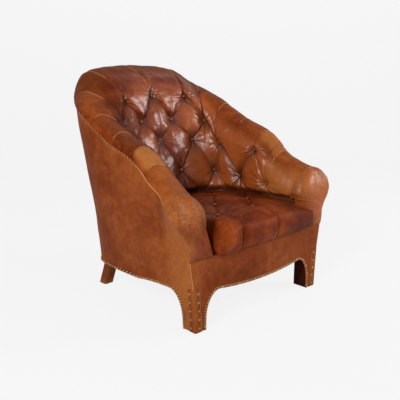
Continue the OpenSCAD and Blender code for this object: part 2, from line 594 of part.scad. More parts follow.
module corner_blocks_form() {
    y = hide_t + gap + rail_t;
    for (s = [-1, 1])
        color(wood)
            translate([0, 0, rail_low])
                linear_extrude(rail_h)
                    polygon([[s * apron_leg_x, y], [s * (apron_leg_x - block_w), y],
                        [s * apron_leg_x, y + block_w]]);
}
function upper_ring(q, in, top) = let (z = roll_z(q) - top, z0 = z - arm_rail_h, t0 = pad_t + slack) [
    tub(q, t0, z0), tub(q, t0, z), tub(q, wall_t(q, z) - in, z), tub(q, wall_t(q, z0) - in, z0)];
module arm_rail_form() {
    color(wood)
        difference() {
            skin([for (q = steps(0.52, q_front - 0.002, 16)) upper_ring(q, hide_t + 2 * slack,
                hook_drop + 2 * slack)]);
            post_cut(top_cut_hs);
        }
}
module top_rail_form() {
    color(wood)
        difference() {
            skin([for (q = steps(-0.39, 0.39, 14)) upper_ring(q, hide_t + slack, hook_drop + 2 * slack)]);
            post_cut(top_cut_hs);
            mirror([1, 0, 0])
                post_cut(top_cut_hs);
        }
}

// Suspension
web_z = rail_low - web_t;
web_xs = [-1.5, -0.5, 0.5, 1.5];
web_ys = [1, 2, 3, 4];
module webbing_long_form() {
    for (k = web_xs)
        color("tan")
            translate([k * web_pitch_x - web_w / 2, hide_t + gap + slack, web_z])
                cube([web_w, outside_y(rail_low) - web_inset, web_t]);
}
module webbing_cross_form() {
    for (k = web_ys)
        color("tan")
            translate([-apron_leg_x - web_reach, k * web_pitch_y - web_w / 2, web_z - web_t - gap])
                cube([2 * (apron_leg_x + web_reach), web_w, web_t]);
}
// Hourglass coil spring standing on z = 0
module coil(turns, h) {
    w = spring_wire / 2;
    seg = 8;
    waist = 0.68;
    color("silver")
        skin([for (i = [0:turns * seg]) let (
            t = i / (turns * seg), a = 360 * i / seg,
            r = (spring_d / 2 - w) * mix(waist, 1, pow(abs(2 * t - 1), 1.5)), z = mix(w, h - w, t))
            [for (b = [0:90:270]) [(r + w * cos(b)) * cos(a), (r + w * cos(b)) * sin(a), z + w * sin(b)]]]);
}
module seat_springs_form() {
    for (i = [-1, 0, 1])
        for (j = [0, 1, 2])
            translate([i * spring_pitch_x, j * spring_pitch_y + spring_first, web_z + web_t + gap])
                coil(3, deck_h - hessian_drop - rail_low - 2 * gap);
}
function inner_outline(in, out) = let (right = concat(
        [[apron_leg_x - gap, out], [apron_leg_x - gap, leg_d + gap]],
        [for (q = steps(q_of_y(leg_d + slack), 0.62, 8)) let (p = tub(q, wall_t(q, rail_low) - in,
            rail_low)) [p[0], p[1]]],
        [post_mid(rail_low) - (post_w / 2 + 2 * slack) * [1, 1]],
        [for (q = steps(0.36, 0.06, 4)) let (p = tub(q, wall_t(q, rail_low) - in, rail_low)) [p[0], p[1]]]))
    concat(right, [for (i = [len(right) - 1:-1:0]) [-right[i][0], right[i][1]]]);
module spring_hessian_form() {
    color("tan")
        translate([0, 0, deck_h - hessian_drop])
            linear_extrude(web_t)
                polygon(inner_outline(rail_t, hide_t + front_inset));
}
module dust_cover_form() {
    color("black")
        translate([0, 0, web_z - 2 * web_t - 3 * gap])
            linear_extrude(web_t / 2)
                polygon(inner_outline(hide_t + dust_inset, hide_t + front_inset));
}
module foot_glides_form() {
    for (s = [-1, 1])
        color("silver") {
            translate([s * (apron_leg_x + leg_w / 2), leg_d / 2, 0])
                cylinder(h = glide_h, d = glide_d);
            translate([s * post_mid(knee_h)[0], post_mid(knee_h)[1] + back_leg_kick, 0])
                cylinder(h = glide_h, d = glide_d);
        }
}

// Leather strips on the leg corners, nailed edging and nails
module leg_strip_form() {
    t = edging_t;
    color(hide)
        skin([for (z = [glide_h, leg_h, strip_h]) let (x = outside_x(z) + 2 * gap) [
            [x - strip_w, -gap - t, z], [x - strip_w, -gap, z], [x, -gap, z],
            [x, strip_w - gap, z], [x + t, strip_w - gap, z], [x + t, -gap - t, z]]]);
}
// Edging: a strip beside an edge, from points of the edge and the direction into the panel
function turn_in(path, i) = let (
        a = path[max(i - 1, 0)], b = path[min(i + 1, len(path) - 1)], d = unit(b - a)) [-d[1], d[0]];
side_path = concat([[leg_d, glide_h]], [for (i = [len(seam_ys) + 2:len(side_edge) - 1]) side_edge[i]]);
module edging_form() {
    t = edging_t + 2 * gap;
    low = side_path;
    high = [for (i = [0:len(low) - 1]) low[i] + turn_in(low, i) * edging_w];
    function ring(a, b) = [[outside_x(a[1]) + 2 * gap, a[0], a[1]], [outside_x(a[1]) + t, a[0], a[1]],
        [outside_x(b[1]) + t, b[0], b[1]], [outside_x(b[1]) + 2 * gap, b[0], b[1]]];
    color(hide)
        skin(concat([for (i = [0:len(low) - 1]) ring(low[i], high[i])],
            [for (q = corner_qs) band_ring(q, 2 * gap, t)]));
}
function band_ring(q, in, out) = let (z0 = side_low_h, z1 = side_low_h + edging_w) [
    tub(q, wall_t(q, z0) + in, z0), tub(q, wall_t(q, z0) + out, z0),
    tub(q, wall_t(q, z1) + out, z1), tub(q, wall_t(q, z1) + in, z1)];
module edging_back_form() {
    q = split_q - split_share;
    color(hide)
        skin([for (s = steps(-q, q, 12)) let (r = band_ring(s, gap, edging_t + gap)) [r[3], r[2], r[1],
            r[0]]]);
}
front_path = concat([[apron_leg_x, glide_h]], [for (i = [3:len(apron_edge) - 1]) apron_edge[i]]);
front_path_all = concat(front_path, [for (i = [len(front_path) - 2:-1:0]) [-front_path[i][0],
    front_path[i][1]]]);
function front_place(p, off) = [p[0], seat_front_y(p[0]) - off, p[1]];
module edging_front_form() {
    low = front_path_all;
    high = [for (i = [0:len(low) - 1]) low[i] - turn_in(low, i) * edging_w];
    color(hide)
        skin([for (i = [0:len(low) - 1]) [
            front_place(low[i], gap), front_place(low[i], gap + edging_t),
            front_place(high[i], gap + edging_t), front_place(high[i], gap)]], true);
}
function run_lengths(path, i = 0, sum = 0) = i >= len(path) ? [] :
    let (s = i == 0 ? 0 : sum + norm(path[i] - path[i - 1])) concat([s], run_lengths(path, i + 1, s));
function along(path, s) = let (r = run_lengths(path)) [
    for (c = [0:len(path[0]) - 1]) lookup(s, [for (i = [0:len(path) - 1]) [r[i], path[i][c]]])];
module nail(p, n) {
    a = atan2(n[1], n[0]);
    translate(p)
        rotate([0, 90, a])
            cylinder(h = nail_h, d1 = nail_d, d2 = nail_d * 0.35, $fn = 6);
}
function nail_steps(total) = let (n = floor(total / nail_pitch)) steps(nail_pitch / 3,
    total - nail_pitch / 3, n);
module nails_form() {
    off = edging_t + 3 * gap;
    low = concat([for (p = side_path) [outside_x(p[1]), p[0], p[1]]],
        [for (q = corner_qs) tub(q, wall_t(q, side_low_h), side_low_h)]);
    in = concat([for (i = [0:len(side_path) - 1]) let (t = turn_in(side_path, i)) [0, t[0], t[1]]],
        [for (q = corner_qs) [0, 0, 1]]);
    dirs = concat([for (p = side_path) [1, 0, 0]], [for (q = corner_qs) outside_normal(q, side_low_h)]);
    line = [for (i = [0:len(low) - 1]) low[i] + in[i] * edging_w / 2];
    r = run_lengths(line);
    color(brass) {
        for (s = nail_steps(r[len(r) - 1]))
            let (p = along(line, s), n = [for (c = [0, 1]) lookup(s,
                [for (i = [0:len(r) - 1]) [r[i], dirs[i][c]]])])
            nail(p + unit([n[0], n[1], 0]) * off, n);
        for (z = steps(strip_nail_low, strip_h - strip_nail_top, nail_rows - 1))
            nail([outside_x(z) + off, strip_w * nail_side_share, z], [1, 0]);
    }
}
module nails_front_form() {
    off = edging_t + 2 * gap;
    line = [for (i = [0:len(front_path_all) - 1]) let (
        p = front_path_all[i] - turn_in(front_path_all, i) * edging_w / 2) front_place(p, off)];
    r = run_lengths(line);
    color(brass) {
        for (s = nail_steps(r[len(r) - 1]))
            nail(along(line, s), [0, -1]);
        for (s = [-1, 1])
            for (z = steps(strip_nail_low, strip_h - strip_nail_top, nail_rows - 1))
                nail([s * (outside_x(z) - strip_w * nail_front_share), -off, z], [0, -1]);
    }
}

// Covered buttons
shank_low = shank_r - pit;
module button(p, n) {
    h = norm([n[0], n[1]]);
    translate(p)
        rotate([0, atan2(h, n[2]), atan2(n[1], n[0])]) {
            translate([0, 0, slack + 3 * gap])
                cylinder(h = button_t, d1 = button_d, d2 = button_d * 0.7, $fn = 10);
            translate([0, 0, shank_low])
                cylinder(h = slack + 3 * gap - shank_low, r = shank_r, $fn = 4);
        }
}
function tuft_places(k0, k1) = [for (k = [k0:k1]) for (r = [0:3])
    if ((r + abs(k)) % 2 == 0 && r >= lookup(abs(k), top_row_shares)
        && row_z(r, k) > seat_edge_z(station_of(k)) + pad_lift) [k, r]];
module tuft_buttons(k0, k1) {
    color(dark_hide)
        for (b = tuft_places(k0, k1))
            let (q = station_of(b[0]), n = tub_out(q, seat_back_h))
            button(tub(q, 0, row_z(b[1], b[0])), [-n[0], -n[1], 0.25]);
}
module back_buttons_form() {
    tuft_buttons(-3, 3);
}
module arm_buttons_form() {
    tuft_buttons(4, 8);
}
module seat_buttons_form() {
    color(dark_hide)
        for (j = [-1:2])
            for (i = [-2:2])
                if ((i + j + 4) % 2 == 0 && !(i == -2 && j == 2))
                    button(seat_top((seat_tuft_x + i * seat_tuft_w) / seat_half_w(),
                        (seat_tuft_y + j * seat_tuft_d) / inside_d)
                        + [0, 0, pit], [0, 0, 1]);
}

// Sewn welt under the roll
module roll_welt_form() {
    r = welt_r;
    color(hide)
        skin([for (q = concat(steps(-1.85, -1, 10), steps(-0.92, 0.92, 28), steps(1, 1.85, 10)))
            let (z = seam_z(q) - 2 * slack - r, t = wall_t(q, z) + 2 * gap + r)
            [for (a = [288:-72:0]) tub(q, t + r * cos(a), z + r * sin(a))]]);
}

// Sub-parts, moved so that the origin lies under the middle
module centred() {
    translate([0, -mid_y, 0])
        children();
}
module front_post_left() {
    mirror([1, 0, 0])
        front_post_right();
}
module front_post_right() {
    centred()
        front_post_form();
}
module back_leg_left() {
    mirror([1, 0, 0])
        back_leg_right();
}
module back_leg_right() {
    centred()
        back_leg_form();
}
module front_rail() {
    centred()
        front_rail_form();
}
module side_rail_left() {
    mirror([1, 0, 0])
        side_rail_right();
}
module side_rail_right() {
    centred()
        side_rail_form();
}
module back_rail() {
    centred()
        back_rail_form();
}
module corner_blocks() {
    centred()
        corner_blocks_form();
}
module arm_rail_left() {
    mirror([1, 0, 0])
        arm_rail_right();
}
module arm_rail_right() {
    centred()
        arm_rail_form();
}
module top_rail() {
    centred()
        top_rail_form();
}
module webbing_long() {
    centred()
        webbing_long_form();
}
module webbing_cross() {
    centred()
        webbing_cross_form();
}
module seat_springs() {
    centred()
        seat_springs_form();
}
module spring_hessian() {
    centred()
        spring_hessian_form();
}
module dust_cover() {
    centred()
        dust_cover_form();
}
module seat_pad() {
    centred()
        seat_pad_form();
}
module back_pad() {
    centred()
        back_pad_form();
}
module arm_pad_left() {
    mirror([1, 0, 0])
        arm_pad_right();
}
module arm_pad_right() {
    centred()
        arm_pad_form();
}
module arm_front_left() {
    mirror([1, 0, 0])
        arm_front_right();
}
module arm_front_right() {
    centred()
        arm_front_form();
}
module outside_arm_left() {
    mirror([1, 0, 0])
        outside_arm_right();
}
module outside_arm_right() {
    centred()
        outside_arm_form();
}
module outside_back() {
    centred()
        outside_back_form();
}
module front_apron() {
    centred()
        front_apron_form();
}
module back_leg_cover_left() {
    mirror([1, 0, 0])
        back_leg_cover_right();
}
module back_leg_cover_right() {
    centred()
        back_leg_cover_form();
}
module leg_strip_left() {
    mirror([1, 0, 0])
        leg_strip_right();
}
module leg_strip_right() {
    centred()
        leg_strip_form();
}
module edging_front() {
    centred()
        edging_front_form();
}
module edging_left() {
    mirror([1, 0, 0])
        edging_right();
}
module edging_right() {
    centred()
        edging_form();
}
module edging_back() {
    centred()
        edging_back_form();
}
module nails_front() {
    centred()
        nails_front_form();
}
module nails_left() {
    mirror([1, 0, 0])
        nails_right();
}
module nails_right() {
    centred()
        nails_form();
}
module back_buttons() {
    centred()
        back_buttons_form();
}
module arm_buttons_left() {
    mirror([1, 0, 0])
        arm_buttons_right();
}
module arm_buttons_right() {
    centred()
        arm_buttons_form();
}
module seat_buttons() {
    centred()
        seat_buttons_form();
}
module roll_welt() {
    centred()
        roll_welt_form();
}
module foot_glides() {
    centred()
        foot_glides_form();
}

front_post_left();
front_post_right();
back_leg_left();
back_leg_right();
front_rail();
side_rail_left();
side_rail_right();
back_rail();
corner_blocks();
arm_rail_left();
arm_rail_right();
top_rail();
webbing_long();
webbing_cross();
seat_springs();
spring_hessian();
dust_cover();
seat_pad();
back_pad();
arm_pad_left();
arm_pad_right();
arm_front_left();
arm_front_right();
outside_arm_left();
outside_arm_right();
outside_back();
front_apron();
back_leg_cover_left();
back_leg_cover_right();
leg_strip_left();
leg_strip_right();
edging_front();
edging_left();
edging_right();
edging_back();
nails_front();
nails_left();
nails_right();
back_buttons();
arm_buttons_left();
arm_buttons_right();
seat_buttons();
roll_welt();
foot_glides();
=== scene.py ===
import math

import bpy
import numpy as np
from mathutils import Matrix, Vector


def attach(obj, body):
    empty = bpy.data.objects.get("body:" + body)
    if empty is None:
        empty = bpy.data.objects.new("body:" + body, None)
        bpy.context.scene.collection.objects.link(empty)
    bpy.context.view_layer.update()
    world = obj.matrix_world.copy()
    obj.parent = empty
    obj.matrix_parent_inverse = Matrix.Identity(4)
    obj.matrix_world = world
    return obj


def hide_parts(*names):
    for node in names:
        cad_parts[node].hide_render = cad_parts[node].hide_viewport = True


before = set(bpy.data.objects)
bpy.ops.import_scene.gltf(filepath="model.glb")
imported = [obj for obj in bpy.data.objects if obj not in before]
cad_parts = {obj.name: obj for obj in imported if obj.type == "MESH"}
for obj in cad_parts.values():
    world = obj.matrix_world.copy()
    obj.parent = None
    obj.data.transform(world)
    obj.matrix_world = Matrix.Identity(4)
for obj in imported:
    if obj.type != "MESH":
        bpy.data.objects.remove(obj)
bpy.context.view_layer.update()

print("frame loaded")

# Everything below is worked out in millimetres from the front plane of the legs


# Straight blend from a to b
def mixed(a, b, t):
    return a + (b - a) * t


# Smooth step from 0 to 1: three t squared less two t cubed
def eased(t):
    t = np.clip(t, 0, 1)
    return t * t * (3 - 2 * t)


# Bell of a width: e to the minus power of distance over width
def bell(distance, width, power=2):
    return np.exp(-(distance / width) ** power)


# Cubic Bezier curve through a and d, drawn towards b and c
def bezier(a, b, c, d, t):
    s = 1 - t
    return a * s**3 + 3 * b * t * s**2 + 3 * c * t * t * s + d * t**3


# Smooth curve through a table of pairs: cubic pieces, whose slope at a knot is the harmonic mean of the
# slopes beside it
def through(table, x):
    xs, ys = np.array(table, float).T
    rise = np.diff(ys) / np.diff(xs)
    product = rise[:-1] * rise[1:]
    total = rise[:-1] + rise[1:]
    inner = np.where(product > 0, 2 * product / np.where(np.abs(total) < 1e-9, 1, total), 0)
    slope = np.concatenate([rise[:1], inner, rise[-1:]])
    x = np.clip(x, xs[0], xs[-1])
    i = np.clip(np.searchsorted(xs, x, side="right") - 1, 0, len(rise) - 1)
    h = xs[i + 1] - xs[i]
    t = (x - xs[i]) / h
    return ((2 * t**3 - 3 * t**2 + 1) * ys[i] + (t**3 - 2 * t**2 + t) * h * slope[i]
            + (3 * t**2 - 2 * t**3) * ys[i + 1] + (t**3 - t**2) * h * slope[i + 1])


# Vectors brought to length one
def unit(v):
    return v / np.maximum(np.linalg.norm(v, axis=-1, keepdims=True), 1e-9)


# Normals of a grid of points: the cross product of its two directions, turned towards a rough outward one
def gridNormals(points, outward):
    normals = unit(np.cross(np.gradient(points, axis=0), np.gradient(points, axis=1)))
    return normals * np.sign(np.sum(normals * outward, axis=-1, keepdims=True))


# Soft random field: a mean of plane waves in seeded directions, from about -1 to 1
def waves(points, size, seed, count=14, stretch=(1, 1, 1)):
    rng = np.random.default_rng(seed)
    total = np.zeros(points.shape[:-1])
    for _ in range(count):
        direction = unit(rng.normal(size=3)) * np.array(stretch) * rng.uniform(0.6, 1.5) * 2 * np.pi / size
        total += np.sin(points @ direction + rng.uniform(0, 2 * np.pi))
    return total / math.sqrt(count / 2) / 1.6


# Length run along a curve up to each of its points
def runOf(curve):
    return np.concatenate([[0], np.cumsum(np.linalg.norm(np.diff(curve, axis=0), axis=1))])


# Rows of values known at some runs, read at others
def readAt(wanted, runs, values):
    return np.stack([np.interp(wanted, runs, column) for column in values.T], axis=1)


# Points spread evenly by length along a curve
def respaced(curve, count):
    runs = runOf(curve)
    return readAt(runs[-1] * np.linspace(0, 1, count), runs, curve)


# The tub: plan lines of the tufted inside and of the leather outside, by height
tub = {
    "insideWidth": 500, "insideFrontWidth": 524, "insideDepth": 497, "insideRake": 17.2,
    "outsideDepth": 586, "outsideRake": 16, "cornerDepth": 290, "bulge": 0.85, "cornerPull": 0.55,
    "deck": 262, "seatFront": 364, "seatBack": 345,
    "rollBack": 822, "rollFront": 422, "rollRadius": 56, "rollInset": 50,
    "flare": 28, "flareStart": 296, "flareDepth": 150, "flareShare": 1.4, "hide": 3,
    # half widths outside by height
    "outsideWidths": [[0, 331], [150, 340], [262, 356], [620, 382], [822, 364], [878, 364]],
    # fullness of the back corners by share of the height
    "corners": [[0.16, 1], [0.39, 0.8], [0.55, 0.73], [0.73, 0.68], [0.85, 0.7], [0.92, 0.73]],
    # height of the roll from front to back, by station: 0 middle of the back, 1 side, 2 front plane
    "ridge": [[-0.2, 0.983], [0, 1], [0.2, 0.983], [0.38, 0.946], [0.48, 0.885], [0.58, 0.804], [0.75, 0.72],
              [0.92, 0.627], [1.14, 0.444], [1.335, 0.353], [1.45, 0.26], [1.536, 0.172], [1.7, 0.081],
              [1.84, 0.027], [2, 0]],
    "seamRise": 17, "seamFall": 155, "seamFallDepth": 100,
    "seamFalls": [[0, 1], [0.05, 0.66], [0.24, 0.36], [0.6, 0.13], [1, 0]],
    # how far the welt stands behind, and the seat's nose in front
    "rearReach": 2.4, "frontReach": 34,
}
padFoot = tub["deck"] + 0.4


# Depth of the back's inside and outside, which lean back with height
def insideY(z):
    return tub["insideDepth"] + (z - tub["seatBack"]) * math.tan(math.radians(tub["insideRake"]))


def outsideY(z):
    return tub["outsideDepth"] + z * math.tan(math.radians(tub["outsideRake"]))


# Depth at which the sides turn into the back
def sideStart(z):
    return outsideY(z) - tub["cornerDepth"]


sideDepth = sideStart(tub["deck"])


# Station of a depth at the foot, and its inverse
def stationAt(y):
    return 2 - y / sideDepth


def depthAt(q):
    return (2 - q) * sideDepth


# Depth of a station on the sides: straight by station, with a cubic lean towards the corner
def sideY(q, z):
    w = 2 - q
    return sideDepth * w + (sideStart(z) - sideDepth) * w**3


# Half width outside at a height, along its curve
def outsideX(z):
    return through(tub["outsideWidths"], z)


# Outward swell of the arm fronts: eased up and eased back
def flare(y, z):
    up = (z - tub["flareStart"]) / (tub["rollFront"] - tub["flareStart"])
    return tub["flare"] * eased(up) * eased((tub["flareDepth"] - y) / tub["flareDepth"] * tub["flareShare"])


# Plan points of the two faces: a Bezier quarter round the back, then a nearly straight side
def insideAt(q, z):
    q, z = np.broadcast_arrays(np.abs(q), z)
    half, back, side = tub["insideWidth"] / 2, insideY(z), sideStart(z)
    c = np.minimum(q, 1)
    x = np.where(q <= 1, bezier(0, tub["bulge"] * half, half, half, c),
                 mixed(half, tub["insideFrontWidth"] / 2, q - 1))
    y = np.where(q <= 1, bezier(back, back, mixed(side, back, tub["cornerPull"]), side, c), sideY(q, z))
    return np.stack([x, y], axis=-1)


def outsideAt(q, z):
    q, z = np.broadcast_arrays(np.abs(q), z)
    full, wide = through(tub["corners"], z / tub["rollBack"]), outsideX(z)
    back, side = outsideY(z), sideStart(z)
    c = np.minimum(q, 1)
    ahead = sideY(q, z)
    x = np.where(q <= 1, bezier(0, full * wide, wide, wide, c), wide + flare(ahead, z))
    y = np.where(q <= 1, bezier(back, back, mixed(side, back, full), side, c), ahead)
    return np.stack([x, y], axis=-1)


# Thickness of the tub: the distance between its two faces
def wall(q, z):
    return np.linalg.norm(outsideAt(q, z) - insideAt(q, z), axis=-1)


# Point of the tub at a station, t outward from the tuft line, at a height
def tubPoint(q, t, z):
    q, t, z = np.broadcast_arrays(np.asarray(q, float), np.asarray(t, float), np.asarray(z, float))
    a = insideAt(q, z)
    p = a + unit(outsideAt(q, z) - a) * t[..., None]
    return np.stack([np.where(q < 0, -p[..., 0], p[..., 0]), p[..., 1], z], axis=-1)


# Point on the tub's outside, or a little out from it
def outerPoint(q, z, out=0):
    return tubPoint(q, wall(q, z) + out, z)


# Heights of the middle of the roll, and of the seam under it outside, which drops at the arm fronts
def rollZ(q):
    return mixed(tub["rollFront"], tub["rollBack"], through(tub["ridge"], np.abs(q)))


def seamZ(q):
    q = np.abs(q)
    fall = through(tub["seamFalls"], sideY(q, tub["rollFront"]) / tub["seamFallDepth"])
    return rollZ(q) + tub["seamRise"] - np.where(q > 1, tub["seamFall"] * fall, 0)


midY = (outsideY(seamZ(np.array(0.0))) + tub["rearReach"] - tub["frontReach"]) / 2


# Millimetres to the frame's metres, whose origin is under the middle
def toFrame(points):
    return (np.asarray(points, float).reshape(-1, 3) - [0, midY, 0]) / 1000


# Quads between neighbouring rows of a grid, closed round where asked
def gridFaces(rows, columns, closeRows=False, closeColumns=False, start=0):
    i = np.arange(rows if closeRows else rows - 1)[:, None]
    j = np.arange(columns if closeColumns else columns - 1)[None, :]
    i2, j2 = (i + 1) % rows, (j + 1) % columns
    a, b, c, d = np.broadcast_arrays(i * columns + j, i * columns + j2, i2 * columns + j2, i2 * columns + j)
    return (np.stack([a, b, c, d], axis=-1).reshape(-1, 4) + start).tolist()


# One mesh object from points and faces, mirrored for the left side where asked, and turned outward by the
# sign of its volume. Marks are values that the materials read, one for each point or one for all
def makePiece(name, points, faces, finish, nodes=(), marks=None, flat=(), fill=None, flip=False):
    material, slot = finish
    points = toFrame(points) * [-1 if flip else 1, 1, 1]
    mesh = bpy.data.meshes.new(name)
    mesh.from_pydata(points.tolist(), [], faces)
    smooth = np.ones(len(mesh.polygons), bool)
    smooth[list(flat)] = False
    mesh.polygons.foreach_set("use_smooth", smooth)
    mesh.calc_loop_triangles()
    corners = np.empty(len(mesh.loop_triangles) * 3, int)
    mesh.loop_triangles.foreach_get("vertices", corners)
    tri = points[corners].reshape(-1, 3, 3)
    if np.einsum("ij,ij->i", tri[:, 0], np.cross(tri[:, 1], tri[:, 2])).sum() < 0:
        mesh.flip_normals()
    for key, values in (marks or {}).items():
        layer = mesh.attributes.new(key, "FLOAT", "POINT")
        layer.data.foreach_set("value", np.broadcast_to(np.ravel(values), len(points)).astype(np.float32))
    mesh.materials.append(material)
    mesh.update()
    piece = bpy.data.objects.new(name, mesh)
    bpy.context.scene.collection.objects.link(piece)
    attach(piece, "root")
    if nodes:
        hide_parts(*nodes)


# Faces of a closed sheet: outer and inner grids of equal size, joined round their rims
def sheetFaces(rows, columns):
    k = rows * columns
    rim = (list(range(columns)) + [i * columns + columns - 1 for i in range(1, rows)]
           + [(rows - 1) * columns + j for j in range(columns - 2, -1, -1)]
           + [i * columns for i in range(rows - 2, 0, -1)])
    return (gridFaces(rows, columns) + [f[::-1] for f in gridFaces(rows, columns, start=k)]
            + [[b, a, a + k, b + k] for a, b in zip(rim, rim[1:] + rim[:1])])


# Closed sheet between two grids, whose marks are given for the outer one and kept in part on the inner one
def makeSheet(name, outer, inner, finish, nodes=(), marks=None, kept=1, **rest):
    grids = {key: np.broadcast_to(value, outer.shape[:2]).ravel() for key, value in (marks or {}).items()}
    makePiece(name, np.stack([outer, inner]), sheetFaces(*outer.shape[:2]), finish, nodes,
              {key: np.append(value, value * kept) for key, value in grids.items()}, **rest)


# The same piece on the right and, mirrored, on the left, with the node that each replaces
def bothSides(make, name, node, *values):
    for flip, side in ((False, "Right"), (True, "Left")):
        make(name + side, [node + "_" + side.lower()] if node else [], flip, *values)


# Many copies of one small closed shape, each set by an origin and three axes
def copiedShape(shape, origins, axes):
    points, faces = shape
    placed = origins[:, None, :] + np.einsum("pi,nij->npj", points, axes)
    return placed.reshape(-1, 3), [[v + n * len(points) for v in face]
                                   for n in range(len(origins)) for face in faces]


# Turned shape about z: rings of a profile of (radius, height), with poles at both ends
def turnedShape(profile, sides):
    profile = np.array(profile, float)
    angle = np.linspace(0, 2 * np.pi, sides, endpoint=False)
    radius, height = profile[1:-1, :1], profile[1:-1, 1:]
    rings = np.stack(np.broadcast_arrays(radius * np.cos(angle), radius * np.sin(angle), height), axis=-1)
    count = len(rings)
    points = np.concatenate([rings.reshape(-1, 3), [[0, 0, profile[0, 1]], [0, 0, profile[-1, 1]]]])
    low, high, last = count * sides, count * sides + 1, (count - 1) * sides
    ends = [[low, (j + 1) % sides, j] for j in range(sides)]
    ends += [[high, last + j, last + (j + 1) % sides] for j in range(sides)]
    return points, gridFaces(count, sides, closeColumns=True) + ends


# Axes whose third is a normal, and whose first lies as near as it can to a given direction
def axesFrom(normals, along):
    third = unit(normals)
    second = unit(np.cross(third, along))
    return np.stack([np.cross(second, third), second, third], axis=1)


# Bead along a path: an oval ring carried along it over the surface below, smaller at both ends
def beadAlong(path, normals, wide, high, sides=10):
    tangent = unit(np.gradient(path, axis=0))
    up = unit(normals - tangent * np.sum(normals * tangent, axis=1, keepdims=True))
    across = np.cross(tangent, up)
    angle = np.linspace(0, 2 * np.pi, sides, endpoint=False)
    count = len(path)
    size = np.minimum(1, np.minimum(np.arange(count), np.arange(count)[::-1]) / 3 + 0.25)
    ring = (np.cos(angle)[None, :, None] * wide * across[:, None, :]
            + np.sin(angle)[None, :, None] * high * up[:, None, :]) * size[:, None, None]
    ends = [list(range(sides))[::-1], [(count - 1) * sides + j for j in range(sides)]]
    return (path[:, None, :] + ring).reshape(-1, 3), gridFaces(count, sides, closeColumns=True) + ends


# Several shapes as one list of points and faces
def joined(parts):
    points, faces, start = [], [], 0
    for p, f in parts:
        points.append(p)
        faces += [[v + start for v in face] for face in f]
        start += len(p)
    return np.concatenate(points), faces


# A shape together with its mirror image
def paired(points, faces):
    return joined([(points, faces), (points * [-1, 1, 1], faces)])


# A socket of a node, which Python's operators add Math nodes to
class Wire:
    def __init__(self, tree, socket):
        self.tree, self.socket = tree, socket

    def maths(self, operation, *others):
        return self.add("Math", {"operation": operation}, dict(enumerate([self, *others])))

    def __add__(self, other):
        return self.maths("ADD", other)

    def __sub__(self, other):
        return self.maths("SUBTRACT", other)

    def __mul__(self, other):
        return self.maths("MULTIPLY", other)

    __radd__ = __add__

    def __rsub__(self, other):
        return self.add("Math", {"operation": "SUBTRACT"}, {0: other, 1: self})

    # Any other node: its type, its settings, and the values or links of its sockets
    def add(self, kind, settings=None, sockets=None, output=0):
        node = self.tree.nodes.new("ShaderNode" + kind)
        for key, value in (settings or {}).items():
            if key == "stops":
                ramp = node.color_ramp
                while len(ramp.elements) < len(value):
                    ramp.elements.new(0.5)
                for stop, (place, colour) in zip(ramp.elements, value):
                    stop.position = place
                    stop.color = (*colour, 1) if isinstance(colour, tuple) else (colour, colour, colour, 1)
            else:
                setattr(node, key, value)
        for key, value in (sockets or {}).items():
            if isinstance(value, Wire):
                self.tree.links.new(value.socket, node.inputs[key])
            else:
                node.inputs[key].default_value = value
        return Wire(self.tree, node.outputs[output] if node.outputs else None)

    def clamped(self, low=0.0, high=1.0):
        return self.add("Clamp", {}, {0: self, 1: low, 2: high})

    def ramp(self, *stops):
        return self.add("ValToRGB", {"stops": stops}, {0: self})

    def colour(self, a, b):
        a, b = (c if isinstance(c, Wire) else (*c, 1) for c in (a, b))
        return self.add("Mix", {"data_type": "RGBA"}, {0: self, 6: a, 7: b}, 2)


# New material, with the place on the piece in metres as its first value
def startMaterial(name):
    material = bpy.data.materials.new(name)
    material.use_nodes = True
    material.node_tree.nodes.clear()
    return material, Wire(material.node_tree, None).add("TexCoord", {}, {}, 3)


# The material's one surface shader and its output
def finishMaterial(material, place, sockets):
    place.add("OutputMaterial", {}, {"Surface": place.add("BsdfPrincipled", {}, sockets)})
    return material


# Soft noise, by its size to the metre
def noise(place, scale, detail=3, roughness=0.55, distortion=0.0):
    return place.add("TexNoise", {}, {"Vector": place, "Scale": scale, "Detail": detail,
                                      "Roughness": roughness, "Distortion": distortion})


# Straight bands across a direction
def bands(place, direction, scale, distortion=0.0, detail=2.0):
    return place.add("TexWave", {"wave_type": "BANDS", "bands_direction": direction},
                     {"Vector": place, "Scale": scale, "Distortion": distortion, "Detail": detail})


# One of the marks of a piece, which is 0 where the piece has none
def mark(place, name):
    return place.add("Attribute", {"attribute_name": name}, {}, 2)


# Bump by a height in metres, over another bump where one is given
def bumped(place, height, strength, distance, below=None):
    sockets = {"Height": height, "Strength": strength, "Distance": distance}
    return place.add("Bump", {}, sockets if below is None else {**sockets, "Normal": below})


